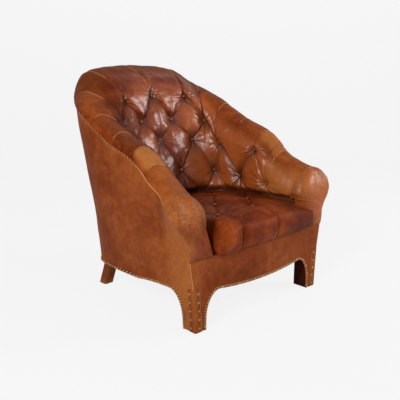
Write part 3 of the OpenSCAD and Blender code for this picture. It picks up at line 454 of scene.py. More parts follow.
# Waxed hide: three broad tones mottled at two sizes, darker and redder in the folds and shaded parts as
# painted shade, lighter as painted light where marked, and paler where worn and where painted light is
# marked, over hollows, fine creases and pores, with more wax where it is glossy
def makeLeather(name, look):
    material, place = startMaterial(name)
    broad = noise(place, look["cloud"], 4, 0.6, 0.4)
    small = noise(place, look["mottle"], 5, 0.65, 0.6)
    speck = noise(place, look["speckle"], 2, 0.7)
    fold, worn, gloss, polish = (mark(place, key) for key in ("fold", "worn", "gloss", "polish"))
    tones = (0.37, look["dark"]), (0.5, look["middle"]), (0.63, look["light"])
    base = (broad * 0.62 + small * 0.38).ramp(*tones)
    # painted light, then painted shade in folds and shaded parts, then wear that is partly painted light
    base = (polish * (broad * 1.2 + 0.2)).clamped().colour(base, look["polish"])
    base = (fold * (small * 0.7 + 0.55)).clamped().colour(base, look["deep"])
    base = (worn * (small * 0.9 + 0.5)).clamped().colour(base, look["worn"])
    base = ((speck - 0.55) * 2.2).clamped(0, look["specks"]).colour(base, look["deep"])
    cells = place.add("TexVoronoi", {"feature": "DISTANCE_TO_EDGE"},
                      {"Vector": place, "Scale": look["grain"]})
    pores = (cells * 5.0).clamped()
    normal = bumped(place, noise(place, 34, 3, 0.5), look["dents"], 0.0022)
    normal = bumped(place, noise(place, 130, 4, 0.7, 1.2), look["creases"], 0.0006, normal)
    normal = bumped(place, pores, look["pores"], 0.00022, normal)
    rough = look["rough"] + (small - 0.5) * 0.22 + (1 - pores) * 0.08 + fold * 0.1 - worn * 0.03
    wax = (broad * 0.9 + small * 0.7 - 0.1) * look["coat"] * (1 - worn * 0.6) * (gloss * 3.2 + 0.4)
    return finishMaterial(material, place, {
        "Base Color": base, "Roughness": rough.clamped(0.12, 0.95), "Normal": normal,
        "Specular IOR Level": look["shine"], "Specular Tint": look["tint"],
        "Coat Weight": wax.clamped(), "Coat Roughness": look["coatRough"]})


padLook = {
    "dark": (0.08, 0.010, 0.002), "middle": (0.185, 0.029, 0.005), "light": (0.29, 0.060, 0.009),
    # the fourth tone is the painted shade of folds and shaded parts, and the specks' colour; the sixth is
    # lighter, for painted light
    "deep": (0.03, 0.004, 0.002), "worn": (0.42, 0.155, 0.038), "polish": (0.36, 0.082, 0.013),
    # patterns to the metre, then how strong the specks and the bumps are
    "cloud": 7, "mottle": 38, "speckle": 420, "grain": 800,
    "specks": 0.25, "dents": 0.5, "creases": 0.4, "pores": 0.35,
    "rough": 0.45, "shine": 0.08, "tint": (1.0, 0.55, 0.32, 1), "coat": 0.42, "coatRough": 0.37,
}
panelLook = {
    **padLook, "dark": (0.12, 0.020, 0.003), "middle": (0.19, 0.039, 0.008), "light": (0.265, 0.068, 0.015),
    "rough": 0.58, "coat": 0.04, "coatRough": 0.4, "dents": 0.3, "cloud": 4.5,
}
trimLook = {
    **panelLook, "dark": (0.14, 0.034, 0.009), "middle": (0.23, 0.066, 0.018), "light": (0.34, 0.12, 0.034),
    "worn": (0.66, 0.36, 0.15), "mottle": 60, "rough": 0.42,
}


# Aged brass nail: dull and rubbed-bright patches mottled at random
def makeBrass():
    material, place = startMaterial("agedBrass")
    patches = noise(place, 260, 4, 0.6)
    colour = patches.ramp((0.3, (0.16, 0.08, 0.03)), (0.5, (0.40, 0.22, 0.09)), (0.7, (0.62, 0.40, 0.19)))
    return finishMaterial(material, place, {
        "Base Color": colour, "Metallic": 0.55, "Roughness": (0.25 + patches * 0.35).clamped(),
        "Normal": bumped(place, noise(place, 900, 3), 0.3, 0.0002)})


# Waxed linen thread with a twist
def makeThread():
    material, place = startMaterial("linenThread")
    twist = bands(place, "DIAGONAL", 260, 1.5)
    colour = twist.ramp((0.2, (0.26, 0.10, 0.03)), (0.8, (0.50, 0.24, 0.09)))
    return finishMaterial(material, place, {"Base Color": colour, "Roughness": 0.6,
                                            "Normal": bumped(place, twist, 0.6, 0.0003)})


# Sawn beech: growth rings drawn out along the grain, pores and saw marks
def makeWood():
    material, place = startMaterial("sawnBeech")
    grainPlace = place.add("Mapping", {}, {"Vector": place, "Scale": (1, 1, 0.12)})
    rings = place.add("TexWave", {"wave_type": "RINGS", "rings_direction": "Z"},
                      {"Vector": grainPlace, "Scale": 14, "Distortion": 5, "Detail": 3, "Detail Scale": 1.5})
    pores = noise(grainPlace, 480, 3, 0.7)
    colour = (rings * 0.6 + pores * 0.4).ramp((0.25, (0.30, 0.17, 0.08)), (0.6, (0.50, 0.33, 0.18)),
                                              (0.85, (0.62, 0.44, 0.26)))
    normal = bumped(place, pores * 0.6 + bands(place, "Z", 190, 2) * 0.4, 0.5, 0.0004)
    return finishMaterial(material, place, {
        "Base Color": colour, "Roughness": (0.6 + pores * 0.25).clamped(), "Normal": normal})


# Plain weave: two sets of bands at right angles, over and under, with loose fibres
def makeWeave(name, scale, low, high, bump, stripe=None):
    material, place = startMaterial(name)
    warp, weft = bands(place, "X", scale, 0.6, 1), bands(place, "Y", scale, 0.6, 1)
    cloth = warp.maths("MAXIMUM", weft) * 0.7 + noise(place, scale * 9, 3, 0.7) * 0.3
    colour = cloth.ramp((0.3, low), (0.85, high))
    if stripe:
        colour = ((bands(place, "X", 3.1) - 0.86) * 12).clamped(0, 0.8).colour(colour, stripe)
    return finishMaterial(material, place, {"Base Color": colour, "Roughness": 0.9,
                                            "Normal": bumped(place, cloth, 0.7, bump)})


# Drawn wire or plated steel, streaked along its length
def makeSteel(name, low, high, rough):
    material, place = startMaterial(name)
    streaks = noise(place, 210, 4, 0.7, 0.8)
    return finishMaterial(material, place, {
        "Base Color": streaks.ramp((0.3, low), (0.7, high)), "Metallic": 1.0,
        "Roughness": (rough + streaks * 0.25).clamped(),
        "Normal": bumped(place, noise(place, 1400, 2), 0.25, 0.0001)})


# Finishes of the new pieces: a material, and the name of the slot that it goes with
padHide = makeLeather("paddedHide", padLook), "pad_leather"
panelHide = makeLeather("panelHide", panelLook), "panel_leather"
trimHide = makeLeather("trimHide", trimLook), "trim_leather"
stripHide = panelHide[0], "trim_leather"
nailBrass = makeBrass(), "nail_brass"
linenThread = makeThread(), "trim_leather"

# Finishes of the solids that show as they are
cadFinishes = {
    makeWood(): ["front_post_left", "front_post_right", "back_leg_left", "back_leg_right", "front_rail",
                 "side_rail_left", "side_rail_right", "back_rail", "corner_blocks", "arm_rail_left",
                 "arm_rail_right", "top_rail"],
    makeWeave("juteWebbing", 150, (0.20, 0.13, 0.06), (0.55, 0.42, 0.24), 0.0006, (0.09, 0.04, 0.02)):
        ["webbing_long", "webbing_cross"],
    makeWeave("springHessian", 110, (0.16, 0.10, 0.05), (0.50, 0.38, 0.22), 0.0008): ["spring_hessian"],
    makeWeave("dustCloth", 320, (0.008, 0.008, 0.009), (0.035, 0.034, 0.034), 0.0002): ["dust_cover"],
    makeSteel("copperedSteel", (0.22, 0.13, 0.08), (0.55, 0.42, 0.32), 0.3): ["seat_springs"],
    makeSteel("platedSteel", (0.32, 0.32, 0.33), (0.66, 0.66, 0.68), 0.2): ["foot_glides"],
}
for finish, names in cadFinishes.items():
    for name in names:
        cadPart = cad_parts[name]
        if not cadPart.material_slots:
            cadPart.data.materials.append(finish)
        for held in cadPart.material_slots:
            held.material = finish
print("materials made")

# Tufted pads of the back and arms
tufts = {
    "rows": [450, 575, 660, 757], "drop": 6, "puff": 26, "ridgePuff": 5,
    # station of each column of buttons, and the row of the topmost button, or fold, over it
    "columns": [[0, 0], [1, 0.143], [2, 0.355], [3, 0.65], [4, 0.98], [5, 1.15], [6, 1.345], [7, 1.49],
                [8, 1.66], [9, 1.854], [10, 2]],
    "topRows": [[0, 0], [1, 1], [2, 0], [3, 1], [4, 2], [5, 3], [6, 2], [7, 3], [8, 4], [9, 3], [10, 4]],
    "pleats": [0, 2, 3, 4, 6, 7, 12], "lastButton": 8,
    "turn": 110, "faceDrop": 60, "faceDropBack": 75, "fadeHeight": 30, "neckPull": 0.42, "neckLength": 1.06,
    "gather": 1.9, "gatherReach": 19, "fullness": 0.86, "slim": 0.55, "lean": 0.42,
    # lift of the crest over the right shoulder, its station and its width
    "shoulder": 7, "shoulderAt": 0.74, "shoulderWidth": 0.26,
    # button that sits on the leather by the arm front, and the hidden back of the pads
    "lastColumn": 8.9, "lastHeight": 376, "hook": 44, "backing": 42,
}
columnTable = np.linspace(-10, 10, 2001)
stationTable = np.sign(columnTable) * through([[-1, -0.143]] + tufts["columns"], np.abs(columnTable))
lowRow, highRow = tufts["rows"][0], tufts["rows"][3]
rowPitch = (highRow - lowRow) / 3
rowTable = np.array([(-10, highRow + 10 * rowPitch), *enumerate(tufts["rows"][::-1]), (4, lowRow - rowPitch)])


# Station of a column of buttons, between the ones that are given
def stationOf(k):
    return np.interp(k, columnTable, stationTable)


# Height of a row of buttons at a column, which drops a little with each column, and its inverse
def rowHeight(r, k):
    return through(rowTable, r) - tufts["drop"] * np.abs(k)


def rowOf(z, k):
    return through(rowTable[::-1, ::-1], z + tufts["drop"] * np.abs(k))


# Row of the topmost button, or fold, at a column
def topRow(k):
    return np.interp(np.abs(k), *np.array(tufts["topRows"], float).T)


# Height at which the pads meet the seat, which rises towards the front
def seatEdge(q):
    return mixed(tub["seatBack"], tub["seatFront"], np.clip(np.abs(q) - 0.6, 0, 1))


# Puffed diamond between four buttons: a swell that is nothing at the buttons, drawn in a little over its
# whole width, less a narrow crease along each fold. A fold's upper side is steeper, as its leather lies over
# the lower
def diamond(p, r):
    p = np.abs(p)
    first, second = (p + r + 1) % 2 - 1, (p - r + 1) % 2 - 1
    a, b = np.abs(np.sin(np.pi / 2 * (p + r))), np.abs(np.sin(np.pi / 2 * (p - r)))
    swell = (1 - (1 - a * a) * (1 - b * b)) ** 0.62
    creaseA = bell(a, np.where(first < 0, 0.07, 0.17), 1)
    creaseB = bell(b, np.where(second > 0, 0.07, 0.17), 1)
    crease = creaseA + creaseB - creaseA * creaseB
    return swell * (0.66 + 0.34 * np.sqrt(a * b)) - 0.26 * crease * np.sqrt(swell)


# Vertical channel between two pleats: a sine across, full over most of its width. Gives the distance to the
# nearest pleat too
def channel(p):
    p = np.abs(p)
    pleats = np.array(tufts["pleats"], float)
    i = np.clip(np.searchsorted(pleats, p, side="right") - 1, 0, len(pleats) - 2)
    share = (p - pleats[i]) / (pleats[i + 1] - pleats[i])
    gap = np.minimum(share, 1 - share) * (pleats[i + 1] - pleats[i])
    arch = np.clip(np.sin(np.pi * share), 0, 1) ** 0.5
    return 0.4 * arch + 0.6 * np.minimum(1, arch * 2) - 0.3 * bell(gap, 0.05, 1) * arch, gap


# Height of the leather from 0 at a button to 1 at a crest: diamonds, which pass into the channels above the
# top row
def puffed(p, r):
    top = topRow(p)
    up = np.clip((top - r) / 0.6, 0, 1)
    c, _ = channel(p)
    above = 0.5 * c + 0.5 * (1 - (1 - c * c) * (1 - up))
    return np.where(r >= top, diamond(p, r), mixed(diamond(p, top), above, eased(up * 1.6)))


# Top of the flat face under the roll
def faceTop(q):
    return rollZ(q) - mixed(tufts["faceDrop"], tufts["faceDropBack"], through(tub["ridge"], np.abs(q)))


# Profile of the pads in (t, z): a straight face, a Bezier neck, then an arc over the roll. Gives the depth
# of its tufts, its height if it were straight, and its share of the neck too
def padProfile(q, s):
    turn, radius, puff = math.radians(tufts["turn"]), tub["rollRadius"], tufts["puff"]
    seamAngle = np.arcsin(np.maximum((seamZ(q) - rollZ(q)) / radius, -0.5))
    top, centreZ = faceTop(q), rollZ(q)
    centreT = wall(q, centreZ) - tub["rollInset"]
    endT, endZ = centreT + radius * math.cos(turn), centreZ + radius * math.sin(turn)
    chord = np.hypot(endT + puff, endZ - top)
    reach, neck = tufts["neckPull"] * chord, tufts["neckLength"] * chord
    zv = mixed(padFoot, top + neck + radius * (turn - seamAngle), s)
    u = np.clip((zv - top) / neck, 0, 1)
    neckT = bezier(-puff, -puff, endT - reach * math.sin(turn), endT, u)
    neckZ = bezier(top, top + reach, endZ + reach * math.cos(turn), endZ, u)
    angle = turn - np.maximum(zv - top - neck, 0) / radius
    onFace, onNeck = zv <= top, zv <= top + neck
    t = np.where(onFace, -puff, np.where(onNeck, neckT, centreT + radius * np.cos(angle)))
    z = np.where(onFace, zv, np.where(onNeck, neckZ, centreZ + radius * np.sin(angle)))
    return t, z, np.where(onFace, puff, mixed(puff, tufts["ridgePuff"], eased(u))), zv, u


# Columns and rows that hold a button
def tuftPlaces(first, last):
    columns = range(math.ceil(first), min(math.floor(last), tufts["lastButton"]) + 1)
    return [(k, r) for k in columns for r in range(4) if (r + abs(k)) % 2 == 0 and r >= topRow(k)
            and rowHeight(r, k) > seatEdge(stationOf(k)) + tufts["fadeHeight"]]


# Gathers round a button: rays as a sum of a few seeded cosines, strongest at their reach
def gathers(distance, angle, seed, counts, height):
    rng = np.random.default_rng(seed)
    rays = sum(np.cos(n * angle + rng.uniform(0, 6.3)) * rng.uniform(0.4, 1) for n in counts)
    reach = tufts["gatherReach"] * (1 + 0.35 * np.cos(angle * 2 + rng.uniform(0, 6.3)))
    strength = distance / reach * np.exp(1 - distance / reach)
    return height * np.tanh(rays * 0.8) * strength * eased((distance - 5) / 6)


# Leather of the pads over columns and shares of the profile: tufts sunk along the profile's normal, gathers
# round each button and slow unevenness. Gives points, normals, a painted shade for each, darkest deep in a
# fold and on shaded parts, and its share of the neck
def padSkin(k, s, side=1):
    k, s = np.meshgrid(k, s, indexing="ij")
    q = stationOf(k)
    t, z, depth, zv, u = padProfile(q, s)
    tangent = unit(np.stack([np.gradient(t, axis=1), np.gradient(z, axis=1)], axis=-1))
    fade = eased((zv - seatEdge(q)) / tufts["fadeHeight"])
    h = puffed(k, rowOf(zv, k)) * np.where(zv > faceTop(q), 1, fade)
    across = runOf(tubPoint(q[:, 0], 0, 520))
    buttons = []
    for place in tuftPlaces(k.min() - 0.5, k.max() + 0.5):
        dx = across[:, None] - np.interp(place[0], k[:, 0], across)
        dz = zv - rowHeight(place[1], place[0])
        buttons.append((place, np.hypot(dx, dz), np.arctan2(dz, dx)))
    nearest = np.min([distance for _, distance, _ in buttons] + [np.full(k.shape, 999.0)], axis=0)
    lastAcross = np.interp(tufts["lastColumn"], k[:, 0], across)
    last = np.hypot(across[:, None] - lastAcross, zv - tufts["lastHeight"])
    # towards the arm fronts the leather lies fuller and flatter, with a dimple at each button
    beyond = np.abs(k)
    front = mixed(h, tufts["fullness"], mixed(0.72, 1, eased((beyond - 7.2) / 0.7)))
    front = front * (1 - bell(nearest, 15, 1.6)) - 0.3 * bell(last, 13)
    h = mixed(h, front, eased((beyond - 5.5) / 0.9) * fade)
    # over the roll the pleats close to narrow valleys
    over = eased((u - 0.55) / 0.45)
    h = mixed(h, 1 - bell(channel(k)[1], 0.07, 1.2), over)
    # the left arm is slimmer towards its front
    thin = 1 - tufts["slim"] * (side < 0) * eased((beyond - 7.2) / 1.5) * (1 - over)
    sink = depth * (1 - h * thin) * (1 - 0.55 * over * eased((6.5 - beyond) / 1.5))
    crest = tufts["shoulder"] * bell(q * side - tufts["shoulderAt"], tufts["shoulderWidth"])
    # the outward normal of the profile is (-dz, dt), so sinking goes along (dz, -dt)
    points = tubPoint(q, t + tangent[..., 1] * sink,
                      z - tangent[..., 0] * sink + crest * np.clip(tangent[..., 0], 0, 1))
    # painted shade: darker in the tufts' folds and round each button
    fold = (1 - h) ** 1.5 * eased(depth / 14)
    relief = np.zeros(k.shape)
    for (column, row), distance, angle in buttons:
        relief += gathers(distance, angle, column * 10 + row + 500, (5, 8, 11, 15, 19), tufts["gather"])
        fold = np.maximum(fold, bell(distance, 11))
    # painted shade: the left wing and left arm, the low middle and the crest of the back are darkened as
    # shade
    kept = eased((-k * side - 1) / 1.2) * 0.45
    low = bell(zv - 470, 60) * eased((2.4 - k * side) / 1.6) * 0.5
    ridge = mixed(0.6, 0.1, eased((beyond - 2.9) / 0.2)) * eased((6.1 - beyond) / 0.15)
    fold = np.maximum(fold, np.maximum(np.maximum(kept, low) * (1 - over), over * ridge))
    slow = waves(points, 95, 3) * mixed(1.5, 0.8, over) + waves(points, 36, 4) * 0.5
    # fine creases across the roll, where the leather was drawn round it
    pulled = waves(points, 15, 7, 18, (0.25, 1.3, 0.7)) * 0.55 * over * eased((beyond - 6.9) / 0.8)
    normals = gridNormals(points, points - tubPoint(q, t + 60, z - 60 * over))
    return points + normals * (relief + slow * np.clip(h * 1.6, 0.3, 1) + pulled)[..., None], normals, fold, u


# Worn, paler leather on the crown of the arms, strongest on the panel in front of the last but one cross
# seam, and paler leather near the arm fronts around a height of 430 as painted light
def rollWearAndPaintedLight(k, points, side):
    k = np.abs(k)
    crown = eased((points[..., 2] - rollZ(stationOf(k)) - 20) / 30)
    edge = 7 + tufts["lean"] * (side > 0) * eased(crown * 2)
    panel = eased((k - 6.02) / 0.06) * (1 - 0.72 * eased((k - edge) / 0.1)) * (1 if side < 0 else 0.7)
    return np.maximum(crown * (0.1 + 0.62 * panel), eased(k - 6.2) * bell(points[..., 2] - 430, 65) * 0.42)


# Closed pad: the leather, then a plain hidden back and base, with flat ends
def makePad(name, nodes, flip, start, end, columns, rows):
    side = -1 if flip else 1
    k = np.linspace(start, end, columns)
    skin, _, fold, u = padSkin(k, np.linspace(0, 1, rows), side)
    q, k = stationOf(k), k[:, None]
    hook = rollZ(q) - tufts["hook"]
    hidden = [outerPoint(q, z, -tub["hide"] - 2.4)
              for z in (seamZ(q) + 0.4, mixed(seamZ(q), hook, 0.5), hook)]
    hidden += [tubPoint(q, tufts["backing"], mixed(hook, padFoot, share)) for share in (0, 0.5, 1)]
    rings = np.concatenate([skin, np.stack(hidden, axis=1)], axis=1)
    count = rings.shape[1]
    faces = gridFaces(columns, count, closeColumns=True)
    faces += [list(range(count)), [(columns - 1) * count + j for j in range(count)][::-1]]
    # the faces that are sat against are glossier than the roll, and on the right half they are painted
    # lighter as painted light
    right = k * side
    gloss = (1 - eased((u - 0.1) / 0.7)) * mixed(0.05, 1, eased((right + 2.8) / 2.4))
    gloss -= 0.2 * eased((u - 0.5) / 0.4)
    polish = (1 - eased((u - 0.05 - 0.3 * (right > 3)) / 0.5)) * eased((right - 0.6) / 2.4)
    marks = {"fold": fold, "worn": rollWearAndPaintedLight(k, skin, side), "gloss": gloss, "polish": polish}
    makePiece(name, rings, faces, padHide, nodes,
              {key: np.pad(value, ((0, 0), (0, len(hidden)))) for key, value in marks.items()},
              [len(faces) - 2, len(faces) - 1], 0.8, flip)


makePad("backPad", ["back_pad"], False, -3, 3, 281, 230)
bothSides(makePad, "armPad", "arm_pad", 3, 9, 181, 190)
print("back and arm pads made")

# Arm fronts: the roll carried round an upright line
armFront = {
    "axisX": 344, "outward": 56, "forward": 62, "tuck": 6, "squareness": 2.7, "station": 1.854, "gap": 0.08,
    "fullness": [[0, 2.3], [40, 1.9], [90, 1.9], [140, 2], [180, 2]],
    # reach of the roll and of the foot towards the seat, angles over which the pad's end fades out at the
    # foot and at the top, shine and painted light, height of its fine creases, and heights of its widest
    # place by angle
    "right": {"side": 1, "inward": 104, "foot": 62, "merge": 60, "mergeTop": 100,
              "gloss": 0.34, "wrinkle": 0.12,
              "shoulder": [[0, 322], [60, 312], [90, 335], [112, 372], [150, 433], [180, 433]]},
    "left": {"side": -1, "inward": 84, "foot": 117, "merge": 26, "mergeTop": 50,
             "gloss": 0, "wrinkle": 0.9,
             "shoulder": [[0, 395], [60, 385], [90, 362], [112, 372], [150, 433], [180, 433]]},
    "seamDepths": [0, 2, 5, 13, 24, 38], "carry": 24, "columns": 121, "rows": 110,
}
lobeY = float(sideY(np.array(armFront["station"]), tub["rollFront"])) - armFront["gap"]


# Half width of the outside panels with their flare
def panelX(y, z):
    return outsideX(z) + flare(y, z)


# Radius of a superellipse at an angle: cosine over x and sine over y, to the power n, added, to the power
# minus one over n
def superRound(angle, x, y, n):
    return ((np.abs(np.cos(angle)) / x) ** n + (np.abs(np.sin(angle)) / y) ** n) ** (-1 / n)


# Arm front leather: at each angle a superellipse shoulder over a tucked lower wall, blended at both ends into
# the profile that the arm pad ends with, so that the leather runs on without a step
def armFrontGrid(angles, rows, shape):
    ends = padSkin(np.array([8.9, 8.95, 9.0]), np.linspace(0, 1, 400), shape["side"])[0]
    crest = int(np.argmax(ends[2, :, 2]))
    centreX, topZ = ends[2, crest, 0], ends[2, crest, 2]
    inners, outers = [], []
    for end in ends[[0, 2]]:
        crest = int(np.argmax(end[:, 2]))
        profile = np.stack([end[:, 0] - centreX, end[:, 2]], axis=1)
        inners.append(respaced((profile[:crest + 1] * [-1, 1])[::-1], rows))
        outers.append(respaced(profile[crest:], rows))
    inner, outer = inners[1], outers[1]
    # reach and height that the pad's end gains per millimetre forward
    step = (ends[0] - ends[2])[:, 1].mean()
    innerRun, outerRun = (inner - inners[0]) / step, (outer - outers[0]) / step
    seamYs = np.array(armFront["seamDepths"], float)
    seamXs = panelX(seamYs, seamZ(stationAt(seamYs)))
    seamAngles = 90 + np.degrees(np.arctan2(seamXs - centreX, lobeY - seamYs))
    forward = armFront["forward"]
    t = np.radians(np.linspace(0, 90, 120))
    grid = np.zeros((len(angles), rows, 3))
    for i, angle in enumerate(angles):
        a = math.radians(angle)
        toSeat, outerSide = angle < 90, angle > seamAngles[0]
        m = float(through(armFront["fullness"], angle))
        side = shape["inward"] if toSeat else armFront["outward"]
        r = float(superRound(a, side, forward, armFront["squareness"] if toSeat else 8))
        y = float(np.interp(angle, np.append(seamAngles, 180), np.append(seamYs, lobeY)))
        zLow = float(seamZ(stationAt(y))) if outerSide else tub["deck"]
        zMid = max(zLow + 20, float(through(shape["shoulder"], angle)))
        low = float(superRound(a, shape["foot"] if toSeat else side, forward, 11)) - armFront["tuck"]
        if outerSide:
            low = min(r - 1, (float(panelX(y, zLow)) - centreX) / max(-math.cos(a), 1e-6),
                      lobeY / max(math.sin(a), 1e-6))
        dome = np.stack([r * np.sin(t) ** (2 / m), zMid + (topZ - zMid) * np.cos(t) ** (2 / m)], axis=1)
        bend = 1 - np.cos(t) if low < r else np.sin(t)
        foot = np.stack([mixed(r, low, bend), mixed(zMid, zLow + 0.4, np.sin(t))], axis=1)
        ring = respaced(np.concatenate([dome, foot[1:]]), rows)
        # near the pad the ring is the pad's own end drawn in with the plan, for longer at the top
        spread = mixed(shape["merge"], shape["mergeTop"], eased((ring[:, 1:] - 320) / 80))
        ring = mixed(ring, inner * [r / side, 1], 1 - eased(angle / spread))
        ring = mixed(ring, outer, 1 - float(eased((180 - angle) / 34)))
        # the pad's run carried on a little way
        ahead = ring[:, 0] * math.sin(a)
        carry = ahead * bell(ahead, armFront["carry"], 1)
        run = mixed(innerRun * [1, 1], outerRun * [-1, 1], float(eased((angle - 55) / 70))) * carry[:, None]
        across = centreX - ring[:, 0] * math.cos(a) - run[:, 0]
        grid[i] = np.stack([across, lobeY - ahead, ring[:, 1] + run[:, 1]], axis=1)
    return grid


# Arm front closed inside by a fan to its upright line and by flat ends against the pad
def makeArmFront(name, nodes, flip):
    shape = armFront["left" if flip else "right"]
    angles = np.linspace(0, 180, armFront["columns"])
    grid = armFrontGrid(angles, armFront["rows"], shape)
    outer, axis = grid[:, 1:], np.array([armFront["axisX"], lobeY, 0])
    # cross creases that fan out from the top of the arm front, and slow unevenness
    normals = gridNormals(outer, outer - axis - [0, 0, 380])
    bend = np.sqrt(np.sin(np.radians(angles)))[:, None]
    fine = waves(outer, 11, 7, 18, (0.3, 1.3, 0.8)) * shape["wrinkle"] * eased((outer[..., 2] - 300) / 90)
    slow = (waves(outer, 95, 3) * 1.3 + waves(outer, 36, 4) * 0.3) * 0.7
    edge = np.minimum(1, np.linspace(1, 0, outer.shape[1]) * 12)
    outer = outer + normals * ((fine + slow) * bend * edge)[..., None]
    inner = outer[:, -1] + (axis - outer[:, -1]) * [0.18, 0.18, 0] - [0, 0, 2]
    inner[:, 2] = np.maximum(inner[:, 2], tub["deck"])
    body = np.concatenate([outer, inner[:, None]], axis=1)
    points = np.concatenate([body.reshape(-1, 3), [grid[0, 0], axis + [0, 0, padFoot]]])
    n, m = body.shape[:2]
    top, base, last = n * m, n * m + 1, m - 1
    faces = gridFaces(n, m) + [[top, i * m, (i + 1) * m] for i in range(n - 1)]
    faces += [[base, (i + 1) * m + last, i * m + last] for i in range(n - 1)]
    faces += [[base, *range(last, -1, -1), top], [top, *range((n - 1) * m, n * m), base]]
    z = body[..., 2]
    # the crown and the low front are paler as wear, the band around a height of 430 paler as painted light,
    # and the right arm front is painted lighter as painted light
    crown = eased((z - float(rollZ(stationOf(9.0))) - 20) / 30) * 0.27
    rub = bell(z - 300, 70) * eased((angles[:, None] - 52) / 46) * 0.35
    worn = np.max([crown, bell(z - 430, 65) * 0.42, rub, np.full(z.shape, 0.06)], axis=0)
    marks = {"worn": np.append(worn, [0.27, 0]), "gloss": shape["gloss"], "polish": shape["gloss"]}
    makePiece(name, points, faces, padHide, nodes, marks, [len(faces) - 2, len(faces) - 1], 0.85, flip)


bothSides(makeArmFront, "armFront", "arm_front")
print("arm fronts made")

seat = {
    "crown": 16, "puff": 17, "tuftWidth": 95, "tuftDepth": 110, "tuftX": -30, "tuftY": 215, "nose": 24,
    "edgeRound": 26, "soft": 14, "bow": 8, "legX": 281, "slack": 2, "drop": 10, "creaseWidth": 7,
    "noseRows": 46,
    # height share up the front and share of the bulge
    "noseShares": [[0, 0.42], [0.2, 0.78], [0.45, 1], [0.68, 0.93], [0.88, 0.6], [1.0, 0.1], [1.07, -0.7]],
    "heights": [[0, 362], [0.12, 364], [0.46, 364], [1, 345]],
    # reach and drop of the front corners, left and right, and how far they are pressed in or swell out
    "corners": [74, 90], "cornerDrops": [66, 30], "pressed": 26, "swollen": 42,
}
seatHalf = tub["insideFrontWidth"] / 2 - 0.4


# Depth of the apron's face, which bows forward between the legs as a parabola
def frontY(x):
    return -seat["bow"] * (1 - np.minimum((x / seat["legX"]) ** 2, 1))


# Depth at which the seat meets the pads
def seatBackY(u, z):
    q = np.linspace(0, 1, 201)
    line = insideAt(q, np.full_like(q, z))
    across = line[:, 0] * 2 / tub["insideWidth"]
    return np.interp(np.minimum(np.abs(u), 1), across, line[:, 1]) - seat["slack"]


# Column of the seat's buttons at a share across
def seatColumn(u):
    return (u * seatHalf - seat["tuftX"]) / seat["tuftWidth"]


# Creases that run down over the front from the first row of buttons: narrow, with a soft swell beside each
def frontCrease(u):
    gap = np.abs(seatColumn(u) % 2 - 1) * seat["tuftWidth"]
    return bell(gap, seat["creaseWidth"], 1) + 0.45 * bell(gap, 34)


# Place across, pressed in beside the left arm front and swelling a little over the right one
def besideArm(x, v):
    most = np.where(x < 0, seat["pressed"], seat["swollen"])
    return x + eased((0.3 - v) / 0.3) * most * np.abs(x / seatHalf) ** 3


# Drop of the front corners, left and right, which is straight over most of its width
def cornerLean(u):
    reach, drop = (np.where(u < 0, *seat[key]) for key in ("corners", "cornerDrops"))
    share = np.clip(1 - seatHalf * (1 - np.abs(u)) / reach, 0, 1)
    return drop * mixed(eased(share), share, 0.5)


# Seat top over shares across and back: a crowned board with diamonds, folds down over the front, and soft
# edges
def seatTop(u, v):
    z0 = tub["seatBack"] - seat["soft"]
    far = insideY(z0) - seat["slack"]
    deep = np.minimum(v * tub["insideDepth"] / sideStart(z0), 1)
    half = mixed(seatHalf, tub["insideWidth"] / 2 - 0.4, deep)
    x, back = besideArm(u * half, v), seatBackY(u, z0)
    y = far * v + (back - far) * v**3
    edge = np.maximum(back - y, 0)
    r = (v * tub["insideDepth"] - seat["tuftY"]) / seat["tuftDepth"]
    crown = seat["crown"] * (1 - u * u) * eased(edge / (seat["tuftDepth"] + 1))
    h = mixed(diamond(seatColumn(u) + 40, r), 0.9 - 0.36 * frontCrease(u), eased((-1 - r) * 2.2))
    soft = 1 - eased(np.minimum(seatHalf * (1 - np.abs(u)), edge) / seat["edgeRound"])
    lean = cornerLean(u) * eased((0.34 - v) / 0.3)
    z = through(seat["heights"], v) + crown - mixed(seat["puff"] * (1 - h), seat["soft"], soft) - lean
    return np.stack([x, y, z], axis=-1), h * (1 - soft) + soft


seatPlaces = np.array([(i, j) for j in range(-1, 3) for i in range(-2, 3)
                       if (i + j) % 2 == 0 and (i, j) != (-2, 2)])


